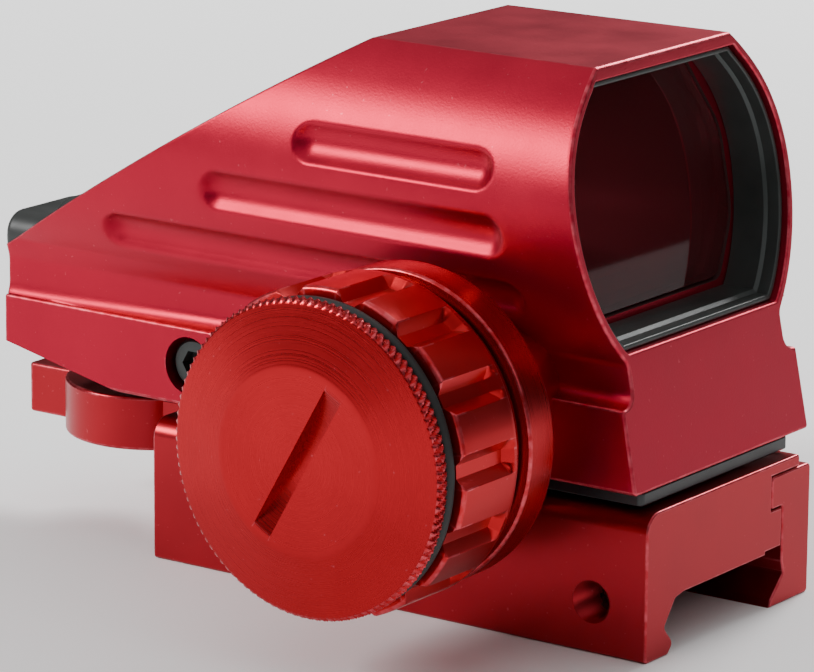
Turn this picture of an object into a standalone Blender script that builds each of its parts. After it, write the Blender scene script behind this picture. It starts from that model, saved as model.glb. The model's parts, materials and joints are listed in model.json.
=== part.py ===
"""Reflex red dot finder on a cross-slot rail clamp.

Lengths are in millimetres; the helpers turn them into metres with MM. +X points to the objective
end, -Y to the side with the brightness knob, +Z up. The origin is the middle of the flat seat that
rests on the rail. A list of (y, z) or (x, z) points is an outline; a third number rounds that corner.
"""

import math

import bmesh
import bpy
from mathutils import Matrix, Vector

MM = 0.001
GAP = 0.3                       # clearance between neighbouring pieces

# ---- mount base and clamp bar ----
BASE_HALF_LENGTH = 29.6
BASE_NEAR_Y = -14.2
BASE_FAR_Y = 13.5
BASE_BOTTOM_Z = -5.6
BASE_TOP_Z = 9.0
SEAT_HALF_WIDTH = 7.4           # flat that rests on the rail
SEAT_RELIEF = 0.35
CLAMP_OUTER_Y = 15.6
CLAMP_HOOK_Y = 8.6
CLAMP_TOP_Z = 7.5
FRONT_SCREW_X = 23.4
REAR_SCREW_X = FRONT_SCREW_X - 40.0     # four slots of the rail behind the front screw
CLAMP_SCREW_Z = -0.5
CLAMP_SCREW_R = 1.65
CLAMP_HEAD_R = 3.5

# ---- rear boss of the base, with the elevation screw ----
BOSS_X = -40.4
BOSS_R = 9.5
BOSS_BOTTOM_Z = 3.3
TAB_END_X = -55.2
TAB_HALF_WIDTH = 3.0
ADJUSTER_R = 1.45               # shank of both adjusting screws
ADJUSTER_HEAD_R = 2.6

# ---- carrier plate: pitches on the base, and the housing yaws on it ----
PITCH_X, PITCH_Z = 12.0, 6.2
YAW_X = 20.0
PLATE_BOTTOM_Z = 9.4
PLATE_TOP_Z = 10.75
PLATE_FRONT_X = 28.3
PLATE_HALF_WIDTH = 13.3
BEAM_BOTTOM_Z = 10.2
BEAM_TOP_Z = 12.8
BEAM_HALF_WIDTH = 7.0
BEAM_REAR_X = -45.4

# ---- housing ----
HOUSING_BOTTOM_Z = 11.1
HOUSING_TOP_Z = 50.4
TAIL_X = -49.0
FRONT_X = 29.0                  # front face at LEAN_Z
LEAN_Z = 11.9
LEAN = 0.1957                   # how far the front face falls back per millimetre of height
TAIL_SCALE = 0.90               # width of the tail end against the front
LEDGE_Z = 19.15
LEDGE_Y = 15.65
NECK_Y = 13.7
FLANK_CREST_Z = 37.0            # height at which the flank is widest
FLANK_CREST_Y = 19.42
LOWER_FLANK_R, LOWER_FLANK_END = 20.0, -41.0        # radius, and the angle in degrees where it meets the neck
UPPER_FLANK_R, UPPER_FLANK_END = 15.0, 42.0
SHOULDER_R, SHOULDER_END = 27.0, 51.5
ROOF_REAR_X = -4.5
TAIL_TOP_Z = 24.3
TAIL_LIP = 0.6                  # thickness of the full-width lip round the tail end
CAVITY_HALF_WIDTH = 10.0
CAVITY_TOP_Z = 17.5
DECK_TOP_Z = 18.6
CAVITY_X = (-46.0, 12.0)
CHANNEL_X = (-45.4, 10.0)
RECESS_WALL = 0.95              # wall left round the front recess that holds the bezel
RECESS_Z = (24.0, 49.1)
FLUTES = ((40.8, -9.1, 14.4), (34.6, -20.4, 15.8), (28.4, -34.0, 17.3))    # height, rear end, front end
FLUTE_R = 2.4
FLUTE_DEPTH = 1.1
WINDAGE_X, WINDAGE_Z = -24.7, 15.3
WINDAGE_RECESS_R = 2.95

# ---- objective ----
BEZEL_FRONT, BEZEL_DEPTH = 0.7, 5.0      # behind the front face, along X
BEZEL_WALL = 0.9
LENS_DEPTH = 2.6
RETAINER_DEPTH = 2.0

# ---- brightness turret, on an axis along Y; t is the distance from the middle towards -Y ----
TURRET_X, TURRET_Z = 8.2, 16.4
TURRET_BOSS_R = 11.5
TURRET_BOSS_T = 21.0
FLANGE_R = 15.5
HUB_R = 11.4
KNOB_R = 15.75
KNOB_NECK_R = 14.5
KNOB_T = (25.6, 36.2)
KNOB_LAND_T = 27.6              # where the full-width grip begins
KNOB_FLUTES = 14
KNOB_FLUTE_FLOOR = 1.25         # width at the floor; the sides open at 45 degrees
KNOB_FLUTE_DEPTH = 1.0
KNOB_FLUTE_ANGLE = 2.5          # direction of the first flute, in degrees
SEAL_T = (36.4, 37.7)
SEAL_R = 15.0
CAP_T = (37.9, 40.5)
CAP_R = 15.3
CAP_FLAT_R = 8.9
COIN_SLOT_WIDTH = 2.1
COIN_SLOT_LENGTH = 16.0
COIN_SLOT_DEPTH = 1.6
COIN_SLOT_ANGLE = 60.0
CELL_R, CELL_HEIGHT, CELL_T = 10.0, 3.2, 28.9

# ---- emitter and reticle selector at the tail ----
EMITTER_X = (-48.7, -38.0)
EMITTER_HALF_WIDTH = 7.0
EMITTER_BOTTOM_Z = 20.8
EMITTER_TOP_Z = 27.7
SHAFT_Z = 22.8
LED_Z = 25.5
SELECTOR_X = (-55.6, -49.4)
SELECTOR_HALF_WIDTH = 6.3
SELECTOR_HALF_HEIGHT = 2.7
SELECTOR_CORNER_R = 2.4
RETICLES = 4
RETICLE_STEP = 30.0

RED = (0.42, 0.03, 0.045, 1.0)
BRIGHT_RED = (0.5, 0.03, 0.03, 1.0)
BLACK = (0.02, 0.02, 0.02, 1.0)
STEEL = (0.35, 0.35, 0.36, 1.0)
BRASS = (0.6, 0.45, 0.2, 1.0)
GREEN = (0.03, 0.2, 0.08, 1.0)
GLASS = (0.3, 0.05, 0.08, 0.35)

AXES = {
    "X": Matrix(((0, 0, 1), (1, 0, 0), (0, 1, 0))).to_4x4(),      # outline in (y, z)
    "Y": Matrix(((1, 0, 0), (0, 0, -1), (0, 1, 0))).to_4x4(),     # outline in (x, z), runs to -Y
    "Z": Matrix.Identity(4),                                      # outline in (x, y)
}


# ---------------------------------------------------------------- helpers

def clear_scene():
    for obj in list(bpy.data.objects):
        bpy.data.objects.remove(obj, do_unlink=True)


def collection(name):
    made = bpy.data.collections.new(name)
    bpy.context.scene.collection.children.link(made)
    return made


def material(name, colour, roughness, metallic):
    made = bpy.data.materials.new(name)
    made.use_nodes = True
    shader = made.node_tree.nodes["Principled BSDF"]
    shader.inputs["Base Color"].default_value = colour
    shader.inputs["Roughness"].default_value = roughness
    shader.inputs["Metallic"].default_value = metallic
    return made


def rounded(corners, steps=3):
    """Outline through corners (a, b) or (a, b, radius), with each radius drawn as an arc."""
    points = []
    count = len(corners)
    for i, corner in enumerate(corners):
        here = Vector(corner[:2])
        radius = corner[2] if len(corner) > 2 else 0.0
        before = (Vector(corners[i - 1][:2]) - here).normalized()
        after = (Vector(corners[(i + 1) % count][:2]) - here).normalized()
        half = before.angle(after) / 2
        if radius == 0.0 or half > math.radians(89):
            points.append(tuple(here))
            continue
        centre = here + (before + after).normalized() * radius / math.sin(half)
        start = here + before * radius / math.tan(half) - centre
        turn = start.angle_signed(here + after * radius / math.tan(half) - centre)
        for k in range(steps + 1):
            points.append(tuple(centre + Matrix.Rotation(-turn * k / steps, 2) @ start))
    return points


def arc(centre, radius, start, end, steps):
    """Points on an arc; angles in degrees."""
    angles = [math.radians(start + (end - start) * k / steps) for k in range(steps + 1)]
    return [(centre[0] + radius * math.cos(a), centre[1] + radius * math.sin(a)) for a in angles]


def mirrored(half):
    """Whole outline from its right half, given from bottom to top."""
    return half + [(-point[0], *point[1:]) for point in reversed(half)]


def store(name, mesh_data, finish):
    obj = bpy.data.objects.new(name, mesh_data)
    (PARTS if finish else CUTTERS).objects.link(obj)
    if finish:
        obj.data.materials.clear()
        obj.data.materials.append(finish)
    else:
        obj.hide_render = True
        obj.display_type = "WIRE"
    return obj


def from_bmesh(name, bm, finish):
    mesh_data = bpy.data.meshes.new(name)
    bmesh.ops.recalc_face_normals(bm, faces=bm.faces)
    bm.to_mesh(mesh_data)
    bm.free()
    return store(name, mesh_data, finish)


def settled(name, source, finish, transform):
    """Turn an object with modifiers, or a curve, into a welded mesh object, and remove it."""
    bpy.context.view_layer.update()
    evaluated = source.evaluated_get(bpy.context.evaluated_depsgraph_get())
    mesh_data = bpy.data.meshes.new_from_object(evaluated)
    bpy.data.objects.remove(source, do_unlink=True)
    bm = bmesh.new()
    bm.from_mesh(mesh_data)
    bpy.data.meshes.remove(mesh_data)
    bmesh.ops.remove_doubles(bm, verts=bm.verts, dist=1e-6)
    bmesh.ops.transform(bm, matrix=transform, verts=bm.verts)
    return from_bmesh(name, bm, finish)


def box(name, x, y, z, finish=None):
    bm = bmesh.new()
    bmesh.ops.create_cube(bm, size=1.0)
    size = [(span[1] - span[0]) * MM for span in (x, y, z)]
    middle = [(span[1] + span[0]) / 2 * MM for span in (x, y, z)]
    bmesh.ops.transform(bm, matrix=Matrix.Translation(middle) @ Matrix.Diagonal((*size, 1.0)), verts=bm.verts)
    return from_bmesh(name, bm, finish)


def prism(name, axis, outlines, start, end, finish=None):
    """Flat outlines (the later ones are holes) run along an axis between two distances."""
    curve = bpy.data.curves.new(name, "CURVE")
    curve.dimensions = "2D"
    curve.fill_mode = "BOTH"
    curve.extrude = (end - start) / 2 * MM
    for outline in outlines:
        spline = curve.splines.new("POLY")
        spline.points.add(len(outline) - 1)
        spline.use_cyclic_u = True
        for point, (a, b) in zip(spline.points, outline):
            point.co = (a * MM, b * MM, 0.0, 1.0)
    source = bpy.data.objects.new(name + "_outline", curve)
    bpy.context.scene.collection.objects.link(source)
    return settled(name, source, finish, AXES[axis] @ Matrix.Translation((0, 0, (start + end) / 2 * MM)))


def turned(name, axis, centre, profile, finish=None, segments=32):
    """Turn a profile of (radius, distance) about an axis through centre, a pair of the other two places.

    A profile whose ends are on the axis is left open, and any other is closed into a ring."""
    bm = bmesh.new()
    verts = [bm.verts.new((r * MM, 0.0, t * MM)) for r, t in profile]
    for first, second in zip(verts, verts[1:]):
        bm.edges.new((first, second))
    if profile[0][0] > 0.0:
        bm.edges.new((verts[-1], verts[0]))
    mesh_data = bpy.data.meshes.new(name + "_profile")
    bm.to_mesh(mesh_data)
    bm.free()
    source = bpy.data.objects.new(name + "_profile", mesh_data)
    bpy.context.scene.collection.objects.link(source)
    screw = source.modifiers.new("turn", "SCREW")
    screw.steps = segments
    screw.render_steps = segments
    screw.use_merge_vertices = True
    screw.merge_threshold = 0.00001
    place = AXES[axis] @ Matrix.Translation((centre[0] * MM, centre[1] * MM, 0.0))
    return settled(name, source, finish, place)


def rod(name, axis, centre, radius, start, end, finish=None, segments=24):
    """Cylinder along an axis between two distances; along Y the distances run to -Y."""
    bm = bmesh.new()
    bmesh.ops.create_cone(
        bm, cap_ends=True, segments=segments, radius1=radius * MM, radius2=radius * MM,
        depth=(end - start) * MM)
    place = Matrix.Translation((centre[0] * MM, centre[1] * MM, (start + end) / 2 * MM))
    bmesh.ops.transform(bm, matrix=AXES[axis] @ place, verts=bm.verts)
    return from_bmesh(name, bm, finish)


def change(obj, operation, tools):
    for tool in tools:
        step = obj.modifiers.new(tool.name, "BOOLEAN")
        step.operation = operation
        step.object = tool
        step.solver = "EXACT"


def cut(obj, *tools):
    change(obj, "DIFFERENCE", tools)


def join(obj, *tools):
    change(obj, "UNION", tools)


def coil(name, axis, centre, radius, start, end, turns, wire, finish):
    """Compression spring with its ends a wire's radius inside start and end."""
    per_turn = 10
    count = int(turns * per_turn) + 1
    curve = bpy.data.curves.new(name, "CURVE")
    curve.dimensions = "3D"
    curve.bevel_depth = wire * MM
    curve.bevel_resolution = 2
    curve.use_fill_caps = True
    spline = curve.splines.new("POLY")
    spline.points.add(count - 1)
    for k, point in enumerate(spline.points):
        angle = math.tau * k / per_turn
        along = start + wire + (end - start - 2 * wire) * k / (count - 1)
        place = Vector((centre[0] + radius * math.cos(angle), centre[1] + radius * math.sin(angle), along))
        point.co = (*(AXES[axis] @ (place * MM)), 1.0)
    obj = bpy.data.objects.new(name, curve)
    PARTS.objects.link(obj)
    curve.materials.append(finish)
    return obj


def hex_key(name, axis, centre, across, start, end):
    """Hexagonal socket cutter."""
    return rod(name, axis, centre, across / math.sqrt(3), start, end, segments=6)


def pivot(name, place, *pieces):
    """Empty on a joint's axis that its moving pieces hang from, without moving them."""
    empty = bpy.data.objects.new(name, None)
    empty.location = [value * MM for value in place]
    PARTS.objects.link(empty)
    bpy.context.view_layer.update()
    for piece in pieces:
        piece.parent = empty
        piece.matrix_parent_inverse = empty.matrix_world.inverted()


# ---------------------------------------------------------------- mount

def make_mount_base():
    outline = rounded([
        (BASE_NEAR_Y, BASE_BOTTOM_Z, 0.4), (-10.2, BASE_BOTTOM_Z, 0.4), (-9.2, -4.6, 0.7), (-10.9, -2.8, 0.4),
        (-9.0, -0.3, 0.5), (-SEAT_HALF_WIDTH, 0.0), (SEAT_HALF_WIDTH, 0.0), (SEAT_HALF_WIDTH, SEAT_RELIEF),
        (CLAMP_HOOK_Y + 1.7, SEAT_RELIEF), (CLAMP_HOOK_Y + 1.7, 4.3), (CLAMP_HOOK_Y - GAP, 4.3),
        (CLAMP_HOOK_Y - GAP, CLAMP_TOP_Z + GAP), (BASE_FAR_Y, CLAMP_TOP_Z + GAP), (BASE_FAR_Y, BASE_TOP_Z, 0.4),
        (BASE_NEAR_Y, BASE_TOP_Z, 2.0)])
    base = prism("mount_base", "X", [outline], -BASE_HALF_LENGTH, BASE_HALF_LENGTH, RED_METAL)
    boss = rod("add_boss", "Z", (BOSS_X, 0), BOSS_R, BOSS_BOTTOM_Z, BASE_TOP_Z, segments=48)
    web = box("add_web", (BOSS_X, 2 - BASE_HALF_LENGTH), (-7, 7), (BOSS_BOTTOM_Z + 0.4, BASE_TOP_Z - 0.4))
    tab = box("add_tab", (TAB_END_X, BOSS_X), (-TAB_HALF_WIDTH, TAB_HALF_WIDTH), (3.4, 8.7))
    join(base, boss, web, tab)
    tools = [
        box("cut_lug_pocket", (PITCH_X - 5, PITCH_X + 5), (-5.4, 5.4), (2.6, 12)),
        rod("cut_pitch_pin", "Y", (PITCH_X, PITCH_Z), 1.55, -20, 11.0),
        rod("cut_yaw_head", "Z", (YAW_X, 0), 3.4, 6.0, 12),
        rod("cut_spring_pocket", "Z", (BOSS_X, 0), 3.6, 6.6, 12),
        rod("cut_elevation_shank", "Z", (BOSS_X, 0), ADJUSTER_R + GAP, 4, 8),
        rod("cut_elevation_head", "Z", (BOSS_X, 0), ADJUSTER_HEAD_R + GAP, 0, 5.2),
        rod("cut_lock_screw", "X", (0, 6.0), 1.3, -60, -46),
    ]
    tools += [rod(f"cut_clamp_thread_{x:.0f}", "Y", (x, CLAMP_SCREW_Z), CLAMP_SCREW_R + GAP, -14, 16)
              for x in (REAR_SCREW_X, FRONT_SCREW_X)]
    cut(base, *tools)
    rod("pitch_pivot_pin", "Y", (PITCH_X, PITCH_Z), 1.25, -8.0, 10.7, STEEL_METAL)
    lock = rod("elevation_lock_screw", "X", (0, 6.0), 1.0, -54.6, -47.0, BLACK_METAL, 16)
    cut(lock, hex_key("cut_lock_socket", "X", (0, 6.0), 0.9, -56, -53.2))


def make_clamp_bar():
    outline = rounded([
        (CLAMP_OUTER_Y, BASE_BOTTOM_Z, 0.4), (CLAMP_OUTER_Y, CLAMP_TOP_Z, 0.5), (CLAMP_HOOK_Y, CLAMP_TOP_Z, 0.5),
        (CLAMP_HOOK_Y, 4.6, 0.3), (CLAMP_HOOK_Y + 2.0, 4.6), (CLAMP_HOOK_Y + 2.0, -1.3), (10.9, -2.6, 0.3),
        (8.6, -4.8, 0.3), (8.3, BASE_BOTTOM_Z)])
    bar = prism("clamp_bar", "X", [outline], -BASE_HALF_LENGTH, BASE_HALF_LENGTH, RED_METAL)
    moving = []
    for name, x in (("clamp_screw_front", FRONT_SCREW_X), ("clamp_screw_rear", REAR_SCREW_X)):
        cut(bar, rod(f"cut_{name}_hole", "Y", (x, CLAMP_SCREW_Z), CLAMP_SCREW_R + GAP, -20, 0),
            rod(f"cut_{name}_head", "Y", (x, CLAMP_SCREW_Z), CLAMP_HEAD_R + GAP, -20, -13.6))
        profile = [(0, -18.4), (CLAMP_HEAD_R - 0.5, -18.4), (CLAMP_HEAD_R, -17.9), (CLAMP_HEAD_R, -13.9),
                   (CLAMP_SCREW_R, -13.9), (CLAMP_SCREW_R, 12.2), (CLAMP_SCREW_R - 0.5, 12.7), (0, 12.7)]
        screw = turned(name, "Y", (x, CLAMP_SCREW_Z), profile, BLACK_METAL, 24)
        cut(screw, hex_key(f"cut_{name}_socket", "Y", (x, CLAMP_SCREW_Z), 3.0, -20, -15.6))
        moving.append((name + "_axis", (x, 0, CLAMP_SCREW_Z), screw))
    pivot("clamp_slide_axis", (0, 0, 0), bar)
    for name, place, screw in moving:
        pivot(name, place, screw)


# ---------------------------------------------------------------- elevation and windage

def make_carrier():
    tongue_outline = rounded([
        (4.0, -PLATE_HALF_WIDTH, 1.0), (PLATE_FRONT_X, -PLATE_HALF_WIDTH, 0.6),
        (PLATE_FRONT_X, PLATE_HALF_WIDTH, 0.6), (4.0, PLATE_HALF_WIDTH, 1.0)])
    plate = prism("carrier_plate", "Z", [tongue_outline], PLATE_BOTTOM_Z, PLATE_TOP_Z, BLACK_METAL)
    beam = box("add_beam", (BEAM_REAR_X, 11.4), (-BEAM_HALF_WIDTH, BEAM_HALF_WIDTH), (BEAM_BOTTOM_Z, BEAM_TOP_Z))
    lug = box("add_lug", (PITCH_X - 4, PITCH_X + 4), (-5, 5), (3.2, 10.5))
    join(plate, beam, lug)
    cut(plate,
        rod("cut_lug_bore", "Y", (PITCH_X, PITCH_Z), 1.25 + GAP, -20, 20),
        rod("cut_yaw_bore", "Z", (YAW_X, 0), 1.5 + GAP, 0, 20),
        rod("cut_nut_bore", "Z", (BOSS_X, 0), 2.6 + GAP, 0, 20))
    pivot_screw = turned("yaw_pivot_screw", "Z", (YAW_X, 0), [
        (0, 18.6), (1.5, 18.6), (1.5, 9.1), (2.8, 9.1), (2.8, 7.2), (0, 7.2)], STEEL_METAL, 24)
    cut(pivot_screw, hex_key("cut_yaw_socket", "Z", (YAW_X, 0), 2.0, 6, 8.4))
    nut = turned("elevation_nut", "Z", (BOSS_X, 0), [
        (2.6, 13.6), (2.6, 10.4), (ADJUSTER_R + GAP, 10.4), (ADJUSTER_R + GAP, 13.6)], BRASS_METAL, 24)
    post = box("windage_nut", (WINDAGE_X - 3.3, WINDAGE_X + 3.3), (-3, 3), (BEAM_TOP_Z + GAP, 16.8), BRASS_METAL)
    cut(post, rod("cut_windage_thread", "Y", (WINDAGE_X, WINDAGE_Z), ADJUSTER_R + GAP - 0.4, -20, 20))
    pivot("pitch_axis", (PITCH_X, 0, PITCH_Z), plate, nut, post)
    pivot("yaw_axis", (YAW_X, 0, 0), pivot_screw)


def make_elevation():
    screw = turned("elevation_screw", "Z", (BOSS_X, 0), [
        (0, 15.2), (ADJUSTER_R - 0.4, 15.2), (ADJUSTER_R, 14.8), (ADJUSTER_R, 4.9), (ADJUSTER_HEAD_R, 4.9),
        (ADJUSTER_HEAD_R, 3.5), (0, 3.5)], BLACK_METAL, 24)
    cut(screw, hex_key("cut_elevation_socket", "Z", (BOSS_X, 0), 2.0, 2, 4.6))
    clip = turned("elevation_clip", "Z", (BOSS_X, 0), [
        (2.4, 7.4), (2.4, 6.9), (ADJUSTER_R + GAP, 6.9), (ADJUSTER_R + GAP, 7.4)], STEEL_METAL, 16)
    coil("elevation_spring", "Z", (BOSS_X, 0), 2.95, 6.85, 9.95, 2.5, 0.25, STEEL_METAL)
    pivot("elevation_screw_axis", (BOSS_X, 0, 0), screw, clip)


def make_windage():
    shank = 1.05
    screw = turned("windage_screw", "Y", (WINDAGE_X, WINDAGE_Z), [
        (0, 13.7), (ADJUSTER_HEAD_R, 13.7), (ADJUSTER_HEAD_R, 12.3), (shank, 12.3), (shank, -3.6), (0, -3.6)],
        BLACK_METAL, 24)
    cut(screw, hex_key("cut_windage_socket", "Y", (WINDAGE_X, WINDAGE_Z), 2.5, 12.5, 15))
    clip = turned("windage_clip", "Y", (WINDAGE_X, WINDAGE_Z), [
        (1.9, 9.7), (1.9, 9.2), (shank + GAP, 9.2), (shank + GAP, 9.7)], STEEL_METAL, 16)
    coil("windage_spring", "Y", (WINDAGE_X, WINDAGE_Z), 1.75, -9.9, -3.9, 4, 0.25, STEEL_METAL)
    plug = rod("windage_spring_plug", "Y", (WINDAGE_X, WINDAGE_Z), 2.6, -13.8, -10.3, BLACK_METAL)
    cut(plug, hex_key("cut_plug_socket", "Y", (WINDAGE_X, WINDAGE_Z), 2.5, -16, -12.4))
    pivot("windage_screw_axis", (WINDAGE_X, 0, WINDAGE_Z), screw, clip)
    return plug


# ---------------------------------------------------------------- housing

def flank_curve(inset, start, end, steps):
    """Right flank in (y, z) from the neck up to the shoulder, pulled in by inset."""
    upper = (FLANK_CREST_Y - UPPER_FLANK_R, FLANK_CREST_Z)
    lower = (FLANK_CREST_Y - LOWER_FLANK_R, FLANK_CREST_Z)
    turn = math.radians(UPPER_FLANK_END)
    shift = SHOULDER_R - UPPER_FLANK_R
    shoulder = (upper[0] - shift * math.cos(turn), upper[1] - shift * math.sin(turn))
    return (arc(lower, LOWER_FLANK_R - inset, start, 0, steps)
            + arc(upper, UPPER_FLANK_R - inset, 0, UPPER_FLANK_END, steps)[1:]
            + arc(shoulder, SHOULDER_R - inset, UPPER_FLANK_END, end, 2)[1:])


def housing_outline():
    """Outer section at the front: skirt, ledge, neck, round flank and flat roof."""
    flank = flank_curve(0.0, LOWER_FLANK_END, SHOULDER_END, 6)
    foot = rounded([(0, HOUSING_BOTTOM_Z), (LEDGE_Y + 0.1, HOUSING_BOTTOM_Z, 0.4), (LEDGE_Y, LEDGE_Z, 0.3),
                    (NECK_Y, LEDGE_Z, 1.5), (NECK_Y, 22.95, 1.3), flank[0]])[1:-1]
    return mirrored(foot + flank + [(flank[-1][0] - 0.4, HOUSING_TOP_Z)])


def recess_outline(inset=0.0):
    """Recess in the front face that the bezel sits in, pulled in by inset."""
    low, high = RECESS_Z[0] + inset, RECESS_Z[1] - inset
    flank = flank_curve(RECESS_WALL + inset, LOWER_FLANK_END + 1.0, 49.5, 6)
    flank = [point for point in flank if low + 0.4 < point[1] < high - 0.2]
    return mirrored([(flank[0][0] - 0.7, low)] + flank + [(flank[-1][0] - 0.35, high)])


def tunnel_outline(inset=0.0):
    """Opening of the hood behind the recess, or the same outline pulled in all round."""
    return rounded(mirrored([
        (12.6 - inset, 25.6 + inset, 2.0), (16.7 - inset, 31.5, 7.0), (16.8 - inset, 40.0, 7.0),
        (12.0 - inset, 47.6 - inset, 1.6)]), steps=4)


def lean_back(obj, behind=TAIL_X):
    """Shear the vertices in front of the X value behind, so that they follow the leaning front face."""
    for vertex in obj.data.vertices:
        if vertex.co.x > behind * MM:
            vertex.co.x -= (vertex.co.z - LEAN_Z * MM) * LEAN


def taper(obj):
    """Narrow an object evenly from the front face to the tail."""
    for vertex in obj.data.vertices:
        share = (FRONT_X * MM - vertex.co.x) / ((FRONT_X - TAIL_X) * MM)
        vertex.co.y *= 1.0 - (1.0 - TAIL_SCALE) * share


def make_flutes():
    """Round-ended grooves down both flanks, following the taper."""
    tools = []
    for number, (z, rear, front) in enumerate(FLUTES):
        radius = UPPER_FLANK_R if z > FLANK_CREST_Z else LOWER_FLANK_R
        flank = FLANK_CREST_Y - radius + math.sqrt(radius ** 2 - (z - FLANK_CREST_Z) ** 2)
        reach = flank + FLUTE_R - FLUTE_DEPTH
        profile = [(FLUTE_R * math.sin(a), front - FLUTE_R + FLUTE_R * math.cos(a))
                   for a in [math.radians(v) for v in (0, 30, 60, 90)]]
        profile += [(FLUTE_R * math.sin(a), rear + FLUTE_R + FLUTE_R * math.cos(a))
                    for a in [math.radians(v) for v in (90, 120, 150, 180)]]
        for side in (-1, 1):
            tool = turned(f"cut_flute_{number}_{side}", "X", (side * reach, z), profile, segments=20)
            taper(tool)
            tools.append(tool)
    return tools


def make_housing():
    housing = prism("housing", "X", [housing_outline()], TAIL_X, FRONT_X, RED_METAL)
    taper(housing)
    lean_back(housing, behind=0.0)
    lip = prism("add_tail_lip", "X", [rounded([
        (-14.15, 13.0), (14.15, 13.0), (14.15, 24.1, 0.8), (-14.15, 24.1, 0.8)])], TAIL_X - 0.1, TAIL_X - 0.1 + TAIL_LIP)
    boss = rod("add_turret_boss", "Y", (TURRET_X, TURRET_Z), TURRET_BOSS_R, 13.0, TURRET_BOSS_T, segments=48)
    join(housing, boss, lip)
    tunnel = prism("cut_tunnel", "X", [tunnel_outline()], TAIL_X - 6, FRONT_X + 6)
    recess = prism("cut_recess", "X", [recess_outline()], FRONT_X - BEZEL_FRONT - BEZEL_DEPTH - 0.1, FRONT_X + 6)
    taper(tunnel)
    taper(recess)
    lean_back(recess)
    slope_end = TAIL_X - 10
    slope_end_z = TAIL_TOP_Z - 10 * (HOUSING_TOP_Z - TAIL_TOP_Z) / (ROOF_REAR_X - TAIL_X)
    slope = prism("cut_slope", "Y", [[
        (ROOF_REAR_X, HOUSING_TOP_Z), (slope_end, slope_end_z), (slope_end, 70), (ROOF_REAR_X, 70)]], -25, 25)
    heel = prism("cut_heel", "Y", [[(-33.7, 8.0), (-33.7, HOUSING_BOTTOM_Z), (-52.0, 14.9), (-52.0, 8.0)]], -25, 25)
    cut(housing, tunnel, recess, slope, heel,
        box("cut_cavity", CAVITY_X, (-CAVITY_HALF_WIDTH, CAVITY_HALF_WIDTH), (0, CAVITY_TOP_Z)),
        box("cut_channel", CHANNEL_X, (-10.5, 10.5), (DECK_TOP_Z, 30)),
        box("cut_tail_sill", (TAIL_X - 5, CHANNEL_X[0] + 1), (-10.5, 10.5), (EMITTER_BOTTOM_Z - GAP, 30)),
        box("cut_below_boss", (-8, 24), (-15.2, -12.0), (0, HOUSING_BOTTOM_Z - 0.01)),
        rod("cut_yaw_thread", "Z", (YAW_X, 0), 1.5 + GAP, 5, 19.2),
        rod("cut_windage_recess", "Y", (WINDAGE_X, WINDAGE_Z), WINDAGE_RECESS_R, 12.0, 20),
        rod("cut_windage_bore", "Y", (WINDAGE_X, WINDAGE_Z), 1.45, 8, 14),
        rod("cut_plug_thread", "Y", (WINDAGE_X, WINDAGE_Z), 2.6 + GAP, -20, -8),
        rod("cut_wire_way", "Y", (TURRET_X, TURRET_Z - 2), 1.5, 8, 24, segments=12),
        *make_flutes(),
        *[rod(f"cut_turret_thread_{i}", "Y", place, 1.25 + GAP, 15.6, 24, segments=16)
          for i, place in enumerate(turret_screw_places())])
    return housing


def make_objective():
    front = FRONT_X - BEZEL_FRONT
    bezel = prism("objective_bezel", "X", [recess_outline(0.1), recess_outline(0.1 + BEZEL_WALL)],
                  front - BEZEL_DEPTH, front, BLACK_METAL)
    lens_front = front - BEZEL_DEPTH - GAP
    lens = prism("objective_lens", "X", [tunnel_outline(0.2)], lens_front - LENS_DEPTH, lens_front, LENS_GLASS)
    retainer_front = lens_front - LENS_DEPTH - GAP
    retainer = prism("lens_retainer", "X", [tunnel_outline(0.2), tunnel_outline(1.2)],
                     retainer_front - RETAINER_DEPTH, retainer_front, BLACK_METAL)
    for piece in (bezel, lens, retainer):
        taper(piece)
        lean_back(piece)
    return [bezel, lens, retainer]


# ---------------------------------------------------------------- brightness turret

def turret_screw_places():
    return [(TURRET_X + 7.0 * math.cos(a), TURRET_Z + 7.0 * math.sin(a))
            for a in [math.radians(90 + 120 * i) for i in range(3)]]


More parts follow.
